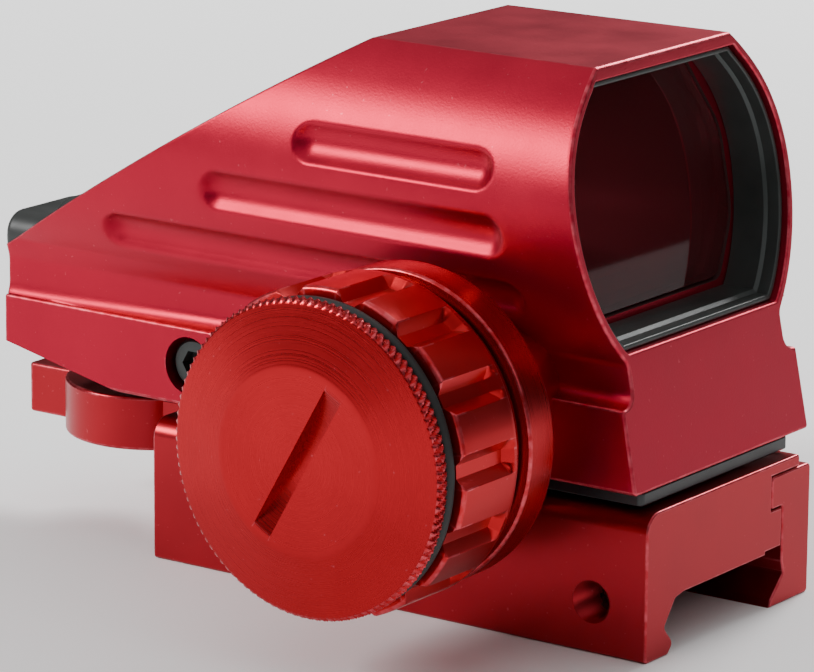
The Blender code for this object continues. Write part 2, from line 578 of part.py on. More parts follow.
def make_turret():
    centre = (TURRET_X, TURRET_Z)
    flange_t = TURRET_BOSS_T + GAP
    body = turned("turret_body", "Y", centre, [
        (1.6, flange_t), (FLANGE_R, flange_t), (FLANGE_R, 25.3), (HUB_R, 25.3), (HUB_R, 36.1), (10.3, 36.1),
        (10.3, 28.0), (1.6, 28.0)], RED_GLOSS, 48)
    for i, place in enumerate(turret_screw_places()):
        cut(body, rod(f"cut_turret_hole_{i}", "Y", place, 1.25 + GAP, 15, 30, segments=16),
            rod(f"cut_turret_head_{i}", "Y", place, 2.2 + GAP, 26.4, 30, segments=16))
        turned(f"turret_screw_{i + 1}", "Y", place, [
            (0, 27.8), (2.2, 27.8), (2.2, 26.7), (1.25, 26.7), (1.25, 16.2), (0, 16.2)], STEEL_METAL, 16)
    turned("brightness_switch_board", "Y", centre, [
        (HUB_R + 0.4, 25.6), (13.5, 25.6), (13.5, 26.2), (HUB_R + 0.4, 26.2)], GREEN_BOARD)
    turned("battery_contact", "Y", centre, [
        (2.4, 28.3), (7.5, 28.3), (7.5, 28.6), (2.4, 28.6)], BRASS_METAL, 24)
    turned("coin_cell", "Y", centre, [
        (0, CELL_T), (CELL_R - 1.6, CELL_T), (CELL_R - 1.4, CELL_T + 0.4), (CELL_R, CELL_T + 0.8),
        (CELL_R, CELL_T + CELL_HEIGHT), (0, CELL_T + CELL_HEIGHT)], STEEL_METAL, 32)
    turned("knob_retaining_ring", "Y", centre, [
        (HUB_R + GAP, 34.9), (13.3, 34.9), (13.3, 35.7), (HUB_R + GAP, 35.7)], STEEL_METAL)
    knob = turned("brightness_knob", "Y", centre, [
        (HUB_R + GAP, 27.2), (13.8, 27.2), (13.8, KNOB_T[0]), (KNOB_NECK_R, KNOB_T[0]),
        (KNOB_NECK_R, KNOB_LAND_T - 0.1), (KNOB_R, KNOB_LAND_T), (KNOB_R, KNOB_T[1]), (13.6, KNOB_T[1]),
        (13.6, 34.6), (HUB_R + GAP, 34.6)], RED_GLOSS, 84)
    cut(knob, make_knob_flute_cutter())
    wiper = turned("switch_wiper", "Y", centre, [
        (HUB_R + 0.4, 26.5), (13.5, 26.5), (13.5, 26.9), (HUB_R + 0.4, 26.9)], BRASS_METAL)
    seal = turned("cap_seal", "Y", centre, [
        (HUB_R + 0.6, SEAL_T[0]), (SEAL_R - 0.4, SEAL_T[0]), (SEAL_R, SEAL_T[0] + 0.4), (SEAL_R, SEAL_T[1] - 0.4),
        (SEAL_R - 0.4, SEAL_T[1]), (HUB_R + 0.6, SEAL_T[1])], RUBBER)
    cap = turned("battery_cap", "Y", centre, [
        (0, 33.7), (9.9, 33.7), (9.9, CAP_T[0]), (14.9, CAP_T[0]), (CAP_R, 38.2), (CAP_R, 39.2), (14.9, 39.4),
        (CAP_FLAT_R, CAP_T[1]), (0, CAP_T[1])], RED_GLOSS, 60)
    cut(cap, make_coin_slot_cutter())
    contact = turned("cap_contact", "Y", centre, [
        (0, 32.5), (6.0, 32.5), (6.0, 33.3), (0, 33.3)], BRASS_METAL, 24)
    axis = (TURRET_X, 0, TURRET_Z)
    pivot("knob_axis", axis, knob, wiper)
    pivot("cap_slide_axis", axis, seal)
    pivot("cap_axis", axis, cap, contact)


def make_knob_flute_cutter():
    """Trapezoid grooves that open outwards, all round the grip."""
    floor, depth = KNOB_FLUTE_FLOOR / 2, KNOB_FLUTE_DEPTH + 1.0
    section = [(-floor, 0), (floor, 0), (floor + depth, depth), (-floor - depth, depth)]
    bm = bmesh.new()
    for i in range(KNOB_FLUTES):
        turn = Matrix.Rotation(math.radians(KNOB_FLUTE_ANGLE) + math.tau * i / KNOB_FLUTES, 4, "Z")
        rings = [[bm.verts.new(turn @ (Vector((KNOB_R - KNOB_FLUTE_DEPTH + out, across, along)) * MM))
                  for across, out in section] for along in (28.4, 38.0)]
        for k in range(4):
            bm.faces.new((rings[0][k], rings[0][(k + 1) % 4], rings[1][(k + 1) % 4], rings[1][k]))
        bm.faces.new(rings[0])
        bm.faces.new(rings[1])
    place = AXES["Y"] @ Matrix.Translation((TURRET_X * MM, TURRET_Z * MM, 0))
    bmesh.ops.transform(bm, matrix=place, verts=bm.verts)
    return from_bmesh("cut_knob_flutes", bm, None)


def make_coin_slot_cutter():
    """Disc on edge, so that the slot's floor is round like one cut with a slitting wheel."""
    radius = ((COIN_SLOT_LENGTH / 2) ** 2 + COIN_SLOT_DEPTH ** 2) / (2 * COIN_SLOT_DEPTH)
    bm = bmesh.new()
    bmesh.ops.create_cone(bm, cap_ends=True, segments=96, radius1=radius * MM, radius2=radius * MM,
                          depth=COIN_SLOT_WIDTH * MM)
    across = math.radians(COIN_SLOT_ANGLE + 90)
    direction = Vector((math.cos(across), 0, math.sin(across)))
    turn = Vector((0, 0, 1)).rotation_difference(direction).to_matrix().to_4x4()
    middle = Vector((TURRET_X, -(CAP_T[1] - COIN_SLOT_DEPTH + radius), TURRET_Z)) * MM
    bmesh.ops.transform(bm, matrix=Matrix.Translation(middle) @ turn, verts=bm.verts)
    return from_bmesh("cut_coin_slot", bm, None)


# ---------------------------------------------------------------- emitter and selector

def make_emitter():
    outline = rounded([
        (-EMITTER_HALF_WIDTH, EMITTER_BOTTOM_Z), (EMITTER_HALF_WIDTH, EMITTER_BOTTOM_Z),
        (EMITTER_HALF_WIDTH, EMITTER_TOP_Z, 3.0), (-EMITTER_HALF_WIDTH, EMITTER_TOP_Z, 3.0)], steps=5)
    block = prism("emitter_housing", "X", [outline], *EMITTER_X, BLACK_PLASTIC)
    cut(block,
        rod("cut_shaft_bore", "X", (0, SHAFT_Z), 1.0 + GAP, -60, -30, segments=16),
        rod("cut_led_bore", "X", (0, LED_Z), 1.7, -45.95, -30, segments=16),
        box("cut_board_slot", (-47.2, -44.0), (-4.6, 4.6), (24.6, 30)))
    cut(block, *[rod(f"cut_emitter_screw_{i}", "Z", (-42.0, side * 5.2), 1.0, 18, 30, segments=12)
                 for i, side in enumerate((-1, 1))])
    for i, side in enumerate((-1, 1)):
        turned(f"emitter_screw_{i + 1}", "Z", (-42.0, side * 5.2), [
            (0, 28.7), (1.5, 28.7), (1.5, 28.0), (0.7, 28.0), (0.7, 18.8), (0, 18.8)], STEEL_METAL, 12)
    box("led_board", (-46.8, -46.0), (-4.2, 4.2), (24.9, 27.6), GREEN_BOARD)
    rod("led_emitter", "X", (0, LED_Z), 1.35, -45.6, -40.0, LED_RED, 16)
    shaft = rod("selector_shaft", "X", (0, SHAFT_Z), 1.0, -49.1, -37.0, STEEL_METAL, 16)
    holes = [arc((2.7 * math.cos(a), SHAFT_Z + 2.7 * math.sin(a)), 0.5, 0, 315, 7)
             for a in [math.radians(90 - RETICLE_STEP * i) for i in range(RETICLES)]]
    disc = prism("reticle_disc", "X", [arc((0, SHAFT_Z), 3.9, 0, 348.75, 31), *holes], -36.7, -36.2, BLACK_METAL)
    knob_outline = rounded([
        (-SELECTOR_HALF_WIDTH, SHAFT_Z - SELECTOR_HALF_HEIGHT, SELECTOR_CORNER_R),
        (SELECTOR_HALF_WIDTH, SHAFT_Z - SELECTOR_HALF_HEIGHT, SELECTOR_CORNER_R),
        (SELECTOR_HALF_WIDTH, SHAFT_Z + SELECTOR_HALF_HEIGHT, SELECTOR_CORNER_R),
        (-SELECTOR_HALF_WIDTH, SHAFT_Z + SELECTOR_HALF_HEIGHT, SELECTOR_CORNER_R)], steps=4)
    knob = prism("reticle_selector", "X", [knob_outline], *SELECTOR_X, BLACK_PLASTIC)
    pivot("selector_axis", (SELECTOR_X[0], 0, SHAFT_Z), shaft, disc, knob)


clear_scene()
PARTS = collection("red_dot_finder")
CUTTERS = collection("cutters")
RED_METAL = material("red_anodised", RED, 0.42, 0.9)
RED_GLOSS = material("bright_red_anodised", BRIGHT_RED, 0.3, 0.9)
BLACK_METAL = material("black_metal", BLACK, 0.4, 0.6)
BLACK_PLASTIC = material("black_plastic", BLACK, 0.5, 0.0)
STEEL_METAL = material("steel", STEEL, 0.35, 1.0)
BRASS_METAL = material("brass", BRASS, 0.35, 1.0)
GREEN_BOARD = material("circuit_board", GREEN, 0.5, 0.0)
RUBBER = material("rubber", BLACK, 0.8, 0.0)
LENS_GLASS = material("lens_glass", GLASS, 0.05, 0.0)
LED_RED = material("led", (0.8, 0.05, 0.05, 1.0), 0.2, 0.0)

make_mount_base()
make_clamp_bar()
make_carrier()
make_elevation()
spring_plug = make_windage()
housing_shell = make_housing()
pivot("housing_axis", (YAW_X, 0, 0), housing_shell, spring_plug, *make_objective())
make_turret()
make_emitter()
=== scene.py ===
"""Looks of the reflex red dot finder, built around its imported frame.

Lengths are millimetres and MM turns them into metres. Outlines lie across an axis: (y, z) for X,
(x, z) for Y and (x, y) for Z, and distances along Y run towards -Y, where the turret is.
"""

import json
import math

import bmesh
import bpy
from mathutils import Matrix, Vector


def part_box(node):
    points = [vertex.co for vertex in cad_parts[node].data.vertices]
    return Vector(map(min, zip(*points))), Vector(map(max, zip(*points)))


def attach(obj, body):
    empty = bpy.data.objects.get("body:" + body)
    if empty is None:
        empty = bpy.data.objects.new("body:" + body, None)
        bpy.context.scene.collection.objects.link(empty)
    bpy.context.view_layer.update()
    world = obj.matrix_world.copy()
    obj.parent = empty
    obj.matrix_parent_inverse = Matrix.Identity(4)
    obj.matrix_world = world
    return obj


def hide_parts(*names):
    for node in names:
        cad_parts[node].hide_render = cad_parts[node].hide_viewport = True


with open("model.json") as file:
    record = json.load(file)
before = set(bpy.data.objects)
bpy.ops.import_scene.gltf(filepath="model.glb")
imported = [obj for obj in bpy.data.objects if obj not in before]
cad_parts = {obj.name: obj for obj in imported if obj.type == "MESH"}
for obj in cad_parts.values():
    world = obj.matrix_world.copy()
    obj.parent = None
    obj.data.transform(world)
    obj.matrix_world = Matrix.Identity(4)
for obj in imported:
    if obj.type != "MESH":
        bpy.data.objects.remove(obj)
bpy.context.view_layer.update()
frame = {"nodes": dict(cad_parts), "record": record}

MM = 0.001
AXES = {
    "X": Matrix(((0, 0, 1), (1, 0, 0), (0, 1, 0))).to_4x4(),
    "Y": Matrix(((1, 0, 0), (0, 0, -1), (0, 1, 0))).to_4x4(),
    "Z": Matrix.Identity(4),
}


def span(node):
    """Lowest and highest corner of a CAD node, in millimetres."""
    low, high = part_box(node)
    return [value / MM for value in low], [value / MM for value in high]


def middle(node, axis):
    low, high = span(node)
    return (low[axis] + high[axis]) / 2


# ---- places read from the frame ----
HOUSING_LOW, HOUSING_HIGH = span("housing")
BASE_LOW = span("mount_base")[0]
PLATE_LOW = span("carrier_plate")[0]
KNOB_LOW, KNOB_HIGH = span("brightness_knob")
KNOB_R = (KNOB_HIGH[0] - KNOB_LOW[0]) / 2
TURRET = (middle("battery_cap", 0), middle("battery_cap", 2))
WINDAGE = (middle("windage_screw", 0), middle("windage_screw", 2))
BOSS_X = middle("elevation_screw", 0)
YAW_X = middle("yaw_pivot_screw", 0)
CLAMP_SCREWS = {name: (middle(name, 0), middle(name, 2))
                for name in ("clamp_screw_front", "clamp_screw_rear")}

# ---- housing shape ----
TAIL_X, TOP_Z, BOTTOM_Z = HOUSING_LOW[0] + 0.1, HOUSING_HIGH[2], 11.1
FRONT_X, LEAN_Z, LEAN = 29.0, 11.9, 0.1957
TAIL_SCALE = 0.90
LEDGE_Y, LEDGE_Z, NECK_Y = 15.65, 19.15, 13.7
CREST_Y, CREST_Z = 19.42, 37.0
LOWER_R, UPPER_R, SHOULDER_R = 20.0, 15.0, 27.0
LOWER_END, UPPER_END, SHOULDER_END = -41.0, 42.0, 51.5
ROOF_REAR_X, TAIL_TOP_Z = -4.5, 24.3
SLOPE = (TOP_Z - TAIL_TOP_Z) / (ROOF_REAR_X - TAIL_X)
BEZEL_FRONT, BEZEL_DEPTH = 0.7, 5.0
# each flute's height, rear end and front end
FLUTES = ((40.8, -9.1, 14.4), (34.6, -20.4, 15.8), (28.4, -34.0, 17.3))
FLUTE_HALF_WIDTH, FLUTE_DEPTH = 2.0, 1.1
FLUTED_Y, FLUTED_LOW, FLUTED_HIGH = 12.0, 25.0, 45.0
RIM = 0.3                       # rounding of the housing's outer rims
HOUSING_ROWS = 150              # sections between the rims
TURRET_BOSS_R, TURRET_BOSS_T = 11.5, 21.0
# the groove above the ledge gets shallower over this length towards the tail
NECK_FILL, NECK_FILL_LENGTH = 0.6, 34.0
NECK_FILL_LOW, NECK_FILL_HIGH = 25.0, 30.0
RECESS_LOW, RECESS_HIGH = 24.0, 49.1
TUNNEL_RIBS, TUNNEL_RIB_LENGTH, TUNNEL_RIB_DEPTH = 24, 14.0, 0.14

# ---- turret shape: radii about its axis, and distances towards -Y ----
FLANGE_R, FLANGE_BACK, FLANGE_FACE = 15.5, 21.3, 25.3
HUB_R, HUB_BORE_R, HUB_FLOOR, HUB_END = 11.4, 10.3, 28.0, 36.1
TURRET_SCREW_CIRCLE_R = 7.0
KNOB_BORE_R, KNOB_BACK, KNOB_FACE = 11.7, 27.2, 36.2
KNOB_FLUTES, KNOB_FLUTE_FLOOR, KNOB_FLUTE_WALL = 14, 2.45, 3.6
KNOB_FLUTE_FIRST, KNOB_FLUTE_DEPTH = 2.5, 1.0
KNOB_FLUTE_START, KNOB_FLUTE_RUN_IN = 28.3, 0.7
KNOB_ROWS = (28.3, 28.5, 28.7, 28.9, 29.02, 31.0, 34.0)
SEAL_BORE_R, SEAL_R, SEAL_BACK, SEAL_FACE = 12.0, 15.0, 36.4, 37.7
CAP_TEETH, CAP_TOOTH_DEPTH, CAP_TOOTH_TWIST = 112, 0.34, 0.9
CAP_BACK, CAP_FACE = 37.9, 40.5
COIN_SLOT_LENGTH, COIN_SLOT_DEPTH, COIN_SLOT_WIDTH, COIN_SLOT_ANGLE = 16.0, 1.6, 2.1, 60.0

# ---- base, clamp, carrier and tail shape ----
BASE_HALF_LENGTH, BASE_TOP_Z, LEG_Y, LEG_Z = 29.6, 9.0, 14.2, -5.6
BOSS_R, BOSS_LOW = 9.5, 3.3
TAB_END_X, TAB_NECK_X, TAB_HALF_WIDTH = -55.2, -48.9, 3.0
PITCH_PIN = (12.0, 6.2)
PIVOT_BORE_R = 1.55
THREAD_PITCH, THREAD_DEPTH, THREAD_R = 0.55, 0.3, 1.82      # looks only; the screws turn at 0.7
THREAD_START, THREAD_STEPS = 6.2, 29
PLATE_REAR_X, PLATE_FRONT_X, PLATE_HALF_WIDTH = 4.0, 28.3, 13.3
PLATE_UNDER_Z, PLATE_OVER_Z = 9.4, 10.75
SHAFT_Z, LED_Z = 22.8, 25.5
EMITTER_SCREW_X, EMITTER_SCREW_Y = -42.0, 5.2

# ---- looks ----
GRAIN_HEIGHT = 0.00002          # metres, before each finish scales it
CRIMSON = (0.46, 0.010, 0.036, 1.0)
GARNET = (0.40, 0.016, 0.026, 1.0)
SCARLET = (0.52, 0.012, 0.018, 1.0)
FACED_SCARLET = (0.43, 0.012, 0.018, 1.0)
WORN = (0.80, 0.16, 0.20, 1.0)
CAMERA_PLACE, CAMERA_TARGET = (0.25584, -0.37196, 0.13108), (-0.00833, 0.0, 0.01794)
CAMERA_ROLL, CAMERA_LENS = 0.39, 207.6


# ---------------------------------------------------------------- outlines

def rounded(corners, steps=6):
    """Outline through corners (a, b) or (a, b, radius), with each radius drawn as an arc."""
    points = []
    count = len(corners)
    for i, corner in enumerate(corners):
        here = Vector(corner[:2])
        radius = corner[2] if len(corner) > 2 else 0.0
        before = (Vector(corners[i - 1][:2]) - here).normalized()
        after = (Vector(corners[(i + 1) % count][:2]) - here).normalized()
        half = before.angle(after) / 2
        if radius == 0.0 or half > math.radians(89):
            points.append(tuple(here))
            continue
        centre = here + (before + after).normalized() * radius / math.sin(half)
        start = here + before * radius / math.tan(half) - centre
        turn = start.angle_signed(here + after * radius / math.tan(half) - centre)
        for k in range(steps + 1):
            points.append(tuple(centre + Matrix.Rotation(-turn * k / steps, 2) @ start))
    return points


def arc(centre, radius, start, end, steps):
    angles = [math.radians(start + (end - start) * k / steps) for k in range(steps + 1)]
    return [(centre[0] + radius * math.cos(a), centre[1] + radius * math.sin(a)) for a in angles]


def mirrored(half):
    return half + [(-point[0], *point[1:]) for point in reversed(half)]


def divided(outline, longest):
    """The outline with its long sides divided into steps no longer than longest."""
    points = []
    for i, here in enumerate(outline):
        there = outline[(i + 1) % len(outline)]
        parts = max(1, math.ceil(math.dist(here, there) / longest))
        points += [(here[0] + (there[0] - here[0]) * k / parts, here[1] + (there[1] - here[1]) * k / parts)
                   for k in range(parts)]
    return points


def normals(outline):
    """Outward direction at each point of an outline, lengthened at corners so that offsets stay even."""
    area = sum(a[0] * b[1] - a[1] * b[0] for a, b in zip(outline, outline[1:] + outline[:1]))
    turn = 1.0 if area > 0 else -1.0
    result = []
    for i, here in enumerate(outline):
        before = (Vector(here) - Vector(outline[i - 1])).normalized()
        after = (Vector(outline[(i + 1) % len(outline)]) - Vector(here)).normalized()
        first = Vector((before.y, -before.x)) * turn
        second = Vector((after.y, -after.x)) * turn
        both = (first + second).normalized()
        result.append(both / max(0.5, both.dot(first)))
    return result


# ---------------------------------------------------------------- mesh building

def add_object(name, bm):
    bmesh.ops.recalc_face_normals(bm, faces=bm.faces)
    mesh = bpy.data.meshes.new(name)
    bm.to_mesh(mesh)
    bm.free()
    obj = bpy.data.objects.new(name, mesh)
    bpy.context.scene.collection.objects.link(obj)
    return obj


def skin(name, rings, closed_caps=True, ring_closed=False):
    """Quads between loops of equal length, given in metres; the end loops are capped."""
    bm = bmesh.new()
    loops = [[bm.verts.new(co) for co in ring] for ring in rings]
    pairs = list(zip(loops, loops[1:])) + ([(loops[-1], loops[0])] if ring_closed else [])
    for low, high in pairs:
        count = len(low)
        for i in range(count):
            j = (i + 1) % count
            bm.faces.new((low[i], low[j], high[j], high[i]))
    if closed_caps and not ring_closed:
        bm.faces.new(loops[0])
        bm.faces.new(loops[-1])
    bmesh.ops.remove_doubles(bm, verts=bm.verts, dist=1e-7)
    return add_object(name, bm)


def fillet_rows(start, end, start_radius, end_radius, steps=5):
    """Rows (distance, inward offset) that round both ends of an extrusion."""
    turns = [math.pi / 2 * k / steps for k in range(steps + 1)]
    rows = [(start + start_radius * (1 - math.cos(a)), start_radius * (1 - math.sin(a))) for a in turns]
    rows += [(end - end_radius * (1 - math.sin(a)), end_radius * (1 - math.cos(a))) for a in turns]
    return rows if start_radius and end_radius else [(start, 0.0), (end, 0.0)]


def extruded(name, axis, outline, start, end, round_start=0.3, round_end=0.3, shape=None, rows=None):
    """Extrusion with rounded end edges; shape may move each point (in millimetres) at the end."""
    outward = normals(outline)
    rings = []
    for along, inset in rows or fillet_rows(start, end, round_start, round_end):
        ring = []
        for (a, b), n in zip(outline, outward):
            place = AXES[axis] @ Vector((a - n.x * inset, b - n.y * inset, along))
            ring.append((shape(place) if shape else place) * MM)
        rings.append(ring)
    return skin(name, rings)


def lathe(name, axis, centre, profile, columns=96, shape=None, closed=False):
    """Turned piece; shape(angle, radius, along) may change each point's radius."""
    rings = []
    for radius, along in profile:
        ring = []
        for k in range(columns):
            angle = math.tau * k / columns
            r = shape(angle, radius, along) if shape else radius
            place = Vector((centre[0] + r * math.cos(angle), centre[1] + r * math.sin(angle), along))
            ring.append(AXES[axis] @ place * MM)
        rings.append(ring)
    obj = skin(name, rings, closed_caps=False, ring_closed=closed)
    if not closed:
        bm = bmesh.new()
        bm.from_mesh(obj.data)
        bmesh.ops.remove_doubles(bm, verts=bm.verts, dist=2e-6)
        bmesh.ops.dissolve_degenerate(bm, edges=bm.edges, dist=1e-7)
        bmesh.ops.recalc_face_normals(bm, faces=bm.faces)
        bm.to_mesh(obj.data)
        bm.free()
    return obj


def bordered(name, outline, profile, shape=None):
    """Frame that follows an outline: profile points are (inward offset, distance along X)."""
    outward = normals(outline)
    rings = []
    for (y, z), n in zip(outline, outward):
        ring = []
        for inset, along in profile:
            place = Vector((along, y - n.x * inset, z - n.y * inset))
            ring.append((shape(place) if shape else place) * MM)
        rings.append(ring)
    return skin(name, rings, ring_closed=True)


def block(name, x, y, z):
    bm = bmesh.new()
    bmesh.ops.create_cube(bm, size=1.0)
    size = [(s[1] - s[0]) * MM for s in (x, y, z)]
    place = [(s[1] + s[0]) / 2 * MM for s in (x, y, z)]
    bmesh.ops.transform(bm, matrix=Matrix.Translation(place) @ Matrix.Diagonal((*size, 1.0)), verts=bm.verts)
    return add_object(name, bm)


def rod(name, axis, centre, radius, start, end, columns=48):
    return lathe(name, axis, centre, [(0, start), (radius, start), (radius, end), (0, end)], columns)


def baked(obj):
    """Apply the object's modifiers to its mesh."""
    bpy.context.view_layer.update()
    evaluated = obj.evaluated_get(bpy.context.evaluated_depsgraph_get())
    mesh = bpy.data.meshes.new_from_object(evaluated)
    obj.modifiers.clear()
    old = obj.data
    obj.data = mesh
    bpy.data.meshes.remove(old)


def combine(obj, operation, tools):
    for tool in tools:
        step = obj.modifiers.new(tool.name, "BOOLEAN")
        step.operation = operation
        step.object = tool
        step.solver = "EXACT"
        step.material_mode = "TRANSFER"
    baked(obj)
    for tool in tools:
        bpy.data.objects.remove(tool, do_unlink=True)


def cut(obj, *tools):
    combine(obj, "DIFFERENCE", tools)


def join(obj, *tools):
    combine(obj, "UNION", tools)


def mark_edges(mesh):
    """Store on the narrow faces of rounded edges how sharply they turn, for the wear along them."""
    bm = bmesh.new()
    bm.from_mesh(mesh)
    bm.normal_update()
    values = []
    for face in bm.faces:
        longest = max(edge.calc_length() for edge in face.edges)
        area = face.calc_area()
        narrow = area / max(longest, 1e-9) < 0.16 * MM and area < 0.7 * MM * MM
        turns = sorted(edge.calc_face_angle(0.0) for edge in face.edges
                       if len(edge.link_faces) == 2 and edge.is_convex)
        rounded_edge = narrow and len(turns) > 1 and turns[-2] > math.radians(6)
        worn = min(1.0, turns[-1] / math.radians(16)) if rounded_edge else 0.0
        values += [worn] * len(face.verts)
    bm.free()
    layer = mesh.attributes.new("wear", "FLOAT", "CORNER")
    layer.data.foreach_set("value", values)


def dress(obj, body, material, replaces, angle=35.0):
    """Shade a finished piece, give it its material, tie it to its body and hide the CAD nodes that it
    replaces.
    """
    mark_edges(obj.data)
    if material:
        obj.data.materials.clear()
        obj.data.materials.append(material)
    obj.data.shade_smooth()
    obj.data.set_sharp_from_angle(angle=math.radians(angle))
    step = obj.modifiers.new("even_normals", "WEIGHTED_NORMAL")
    step.keep_sharp = True
    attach(obj, body)
    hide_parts(*replaces)


# ---------------------------------------------------------------- materials

def new_material(name):
    made = bpy.data.materials.new(name)
    made.use_nodes = True
    nodes, links = made.node_tree.nodes, made.node_tree.links
    return made, nodes, links, nodes["Principled BSDF"]


def noise(nodes, links, coords, scale, detail=4.0, roughness=0.55):
    made = nodes.new("ShaderNodeTexNoise")
    made.inputs["Scale"].default_value = scale
    made.inputs["Detail"].default_value = detail
    made.inputs["Roughness"].default_value = roughness
    links.new(coords, made.inputs["Vector"])
    return made.outputs["Fac"]


def ramp(nodes, links, source, low, high, first=0.0, last=1.0):
    """Map low..high of a value to first..last."""
    made = nodes.new("ShaderNodeMapRange")
    made.inputs["From Min"].default_value = low
    made.inputs["From Max"].default_value = high
    made.inputs["To Min"].default_value = first
    made.inputs["To Max"].default_value = last
    links.new(source, made.inputs["Value"])
    return made.outputs["Result"]


def mix_colour(nodes, links, factor, first, second):
    made = nodes.new("ShaderNodeMix")
    made.data_type = "RGBA"
    for socket, value in ((made.inputs[6], first), (made.inputs[7], second)):
        if isinstance(value, tuple):
            socket.default_value = value
        else:
            links.new(value, socket)
    links.new(factor, made.inputs[0])
    return made.outputs[2]


def maths(nodes, links, operation, first, second):
    made = nodes.new("ShaderNodeMath")
    made.operation = operation
    for socket, value in zip(made.inputs, (first, second)):
        if isinstance(value, (int, float)):
            socket.default_value = value
        else:
            links.new(value, socket)
    return made.outputs[0]


def bump(nodes, links, shader, height, strength):
    made = nodes.new("ShaderNodeBump")
    made.inputs["Strength"].default_value = strength
    made.inputs["Distance"].default_value = GRAIN_HEIGHT
    links.new(height, made.inputs["Height"])
    links.new(made.outputs["Normal"], shader.inputs["Normal"])


def object_coords(nodes):
    return nodes.new("ShaderNodeTexCoord").outputs["Object"]


def worn_edges(nodes, links, coords, base, worn, scale, most):
    """The base colour with scuffs of the worn colour, up to most, where mark_edges stored an edge."""
    wear = nodes.new("ShaderNodeAttribute")
    wear.attribute_name = "wear"
    scuffs = ramp(nodes, links, noise(nodes, links, coords, scale, 3.0), 0.38, 0.7, 0.05, most)
    edge = maths(nodes, links, "MULTIPLY", wear.outputs["Fac"], scuffs)
    return mix_colour(nodes, links, edge, base, worn)


def anodised(name, colour, worn, rough, grain_depth=0.7):
    """Dyed anodised aluminium: bead-blasted grain, faint mottling, tiny specks and pale worn edges."""
    made, nodes, links, shader = new_material(name)
    coords = object_coords(nodes)
    cloud = noise(nodes, links, coords, 120.0, 5.0)
    fine = noise(nodes, links, coords, 4200.0, 2.0, 0.7)
    deep = tuple(v * 0.90 for v in colour[:3]) + (1.0,)
    base = mix_colour(nodes, links, ramp(nodes, links, cloud, 0.35, 0.65), deep, colour)
    grit = noise(nodes, links, coords, 2200.0, 1.0, 0.4)
    dots = ramp(nodes, links, grit, 0.74, 0.80, 0.0, 0.25)
    base = mix_colour(nodes, links, dots, base, worn)
    base = worn_edges(nodes, links, coords, base, worn, 900.0, 0.55)
    links.new(base, shader.inputs["Base Color"])
    links.new(ramp(nodes, links, cloud, 0.3, 0.7, rough - 0.03, rough + 0.04), shader.inputs["Roughness"])
    shader.inputs["Metallic"].default_value = 0.90
    bump(nodes, links, shader, fine, grain_depth)
    return made


def turned_anodised(name, colour, worn, rough, centre):
    """Anodised aluminium faced on a lathe: faint rings about the turret's axis."""
    made, nodes, links, shader = new_material(name)
    coords = object_coords(nodes)
    split = nodes.new("ShaderNodeSeparateXYZ")
    links.new(coords, split.inputs[0])
    across = maths(nodes, links, "SUBTRACT", split.outputs[0], centre[0] * MM)
    height = maths(nodes, links, "SUBTRACT", split.outputs[2], centre[1] * MM)
    square = maths(nodes, links, "ADD", maths(nodes, links, "MULTIPLY", across, across),
                   maths(nodes, links, "MULTIPLY", height, height))
    radius = maths(nodes, links, "SQRT", square, 0.5)
    rings = nodes.new("ShaderNodeCombineXYZ")
    links.new(radius, rings.inputs[0])
    links.new(split.outputs[1], rings.inputs[1])
    lines = noise(nodes, links, rings.outputs[0], 9000.0, 2.0, 0.6)
    cloud = noise(nodes, links, coords, 160.0, 4.0)
    fine = noise(nodes, links, coords, 15000.0, 2.0, 0.7)
    deep = tuple(v * 0.93 for v in colour[:3]) + (1.0,)
    base = mix_colour(nodes, links, ramp(nodes, links, cloud, 0.35, 0.65), deep, colour)
    grit = noise(nodes, links, coords, 2400.0, 1.0, 0.4)
    base = mix_colour(nodes, links, ramp(nodes, links, grit, 0.76, 0.82, 0.0, 0.3), base, worn)
    base = worn_edges(nodes, links, coords, base, worn, 1200.0, 0.5)
    links.new(base, shader.inputs["Base Color"])
    links.new(ramp(nodes, links, lines, 0.3, 0.7, rough - 0.04, rough + 0.05), shader.inputs["Roughness"])
    shader.inputs["Metallic"].default_value = 0.92
    relief = maths(nodes, links, "ADD", lines, maths(nodes, links, "MULTIPLY", fine, 0.6))
    bump(nodes, links, shader, relief, 0.3)
    return made


def plain(name, colour, rough, metallic=0.0, transmission=0.0):
    """Moulded, painted or plain metal finish with fine grain and a slight change of tone."""
    made, nodes, links, shader = new_material(name)
    coords = object_coords(nodes)
    cloud = noise(nodes, links, coords, 300.0, 4.0)
    fine = noise(nodes, links, coords, 6000.0, 3.0)
    light = tuple(min(1.0, v * 1.25 + 0.004) for v in colour[:3]) + (1.0,)
    tone = mix_colour(nodes, links, ramp(nodes, links, cloud, 0.3, 0.7), colour, light)
    links.new(tone, shader.inputs["Base Color"])
    links.new(ramp(nodes, links, cloud, 0.3, 0.7, rough - 0.04, rough + 0.06), shader.inputs["Roughness"])
    shader.inputs["Metallic"].default_value = metallic
    shader.inputs["Transmission Weight"].default_value = transmission
    bump(nodes, links, shader, fine, 0.25)
    return made


def coated_glass(name, tint):
    """Thin lens glass with a dichroic tint."""
    made, nodes, links, shader = new_material(name)
    coords = object_coords(nodes)
    cloud = noise(nodes, links, coords, 60.0, 2.0)
    dark = tuple(v * 0.9 for v in tint[:3]) + (1.0,)
    tone = mix_colour(nodes, links, ramp(nodes, links, cloud, 0.3, 0.7), dark, tint)
    links.new(tone, shader.inputs["Base Color"])
    shader.inputs["Roughness"].default_value = 0.02
    shader.inputs["Transmission Weight"].default_value = 0.86
    shader.inputs["IOR"].default_value = 1.45
    return made


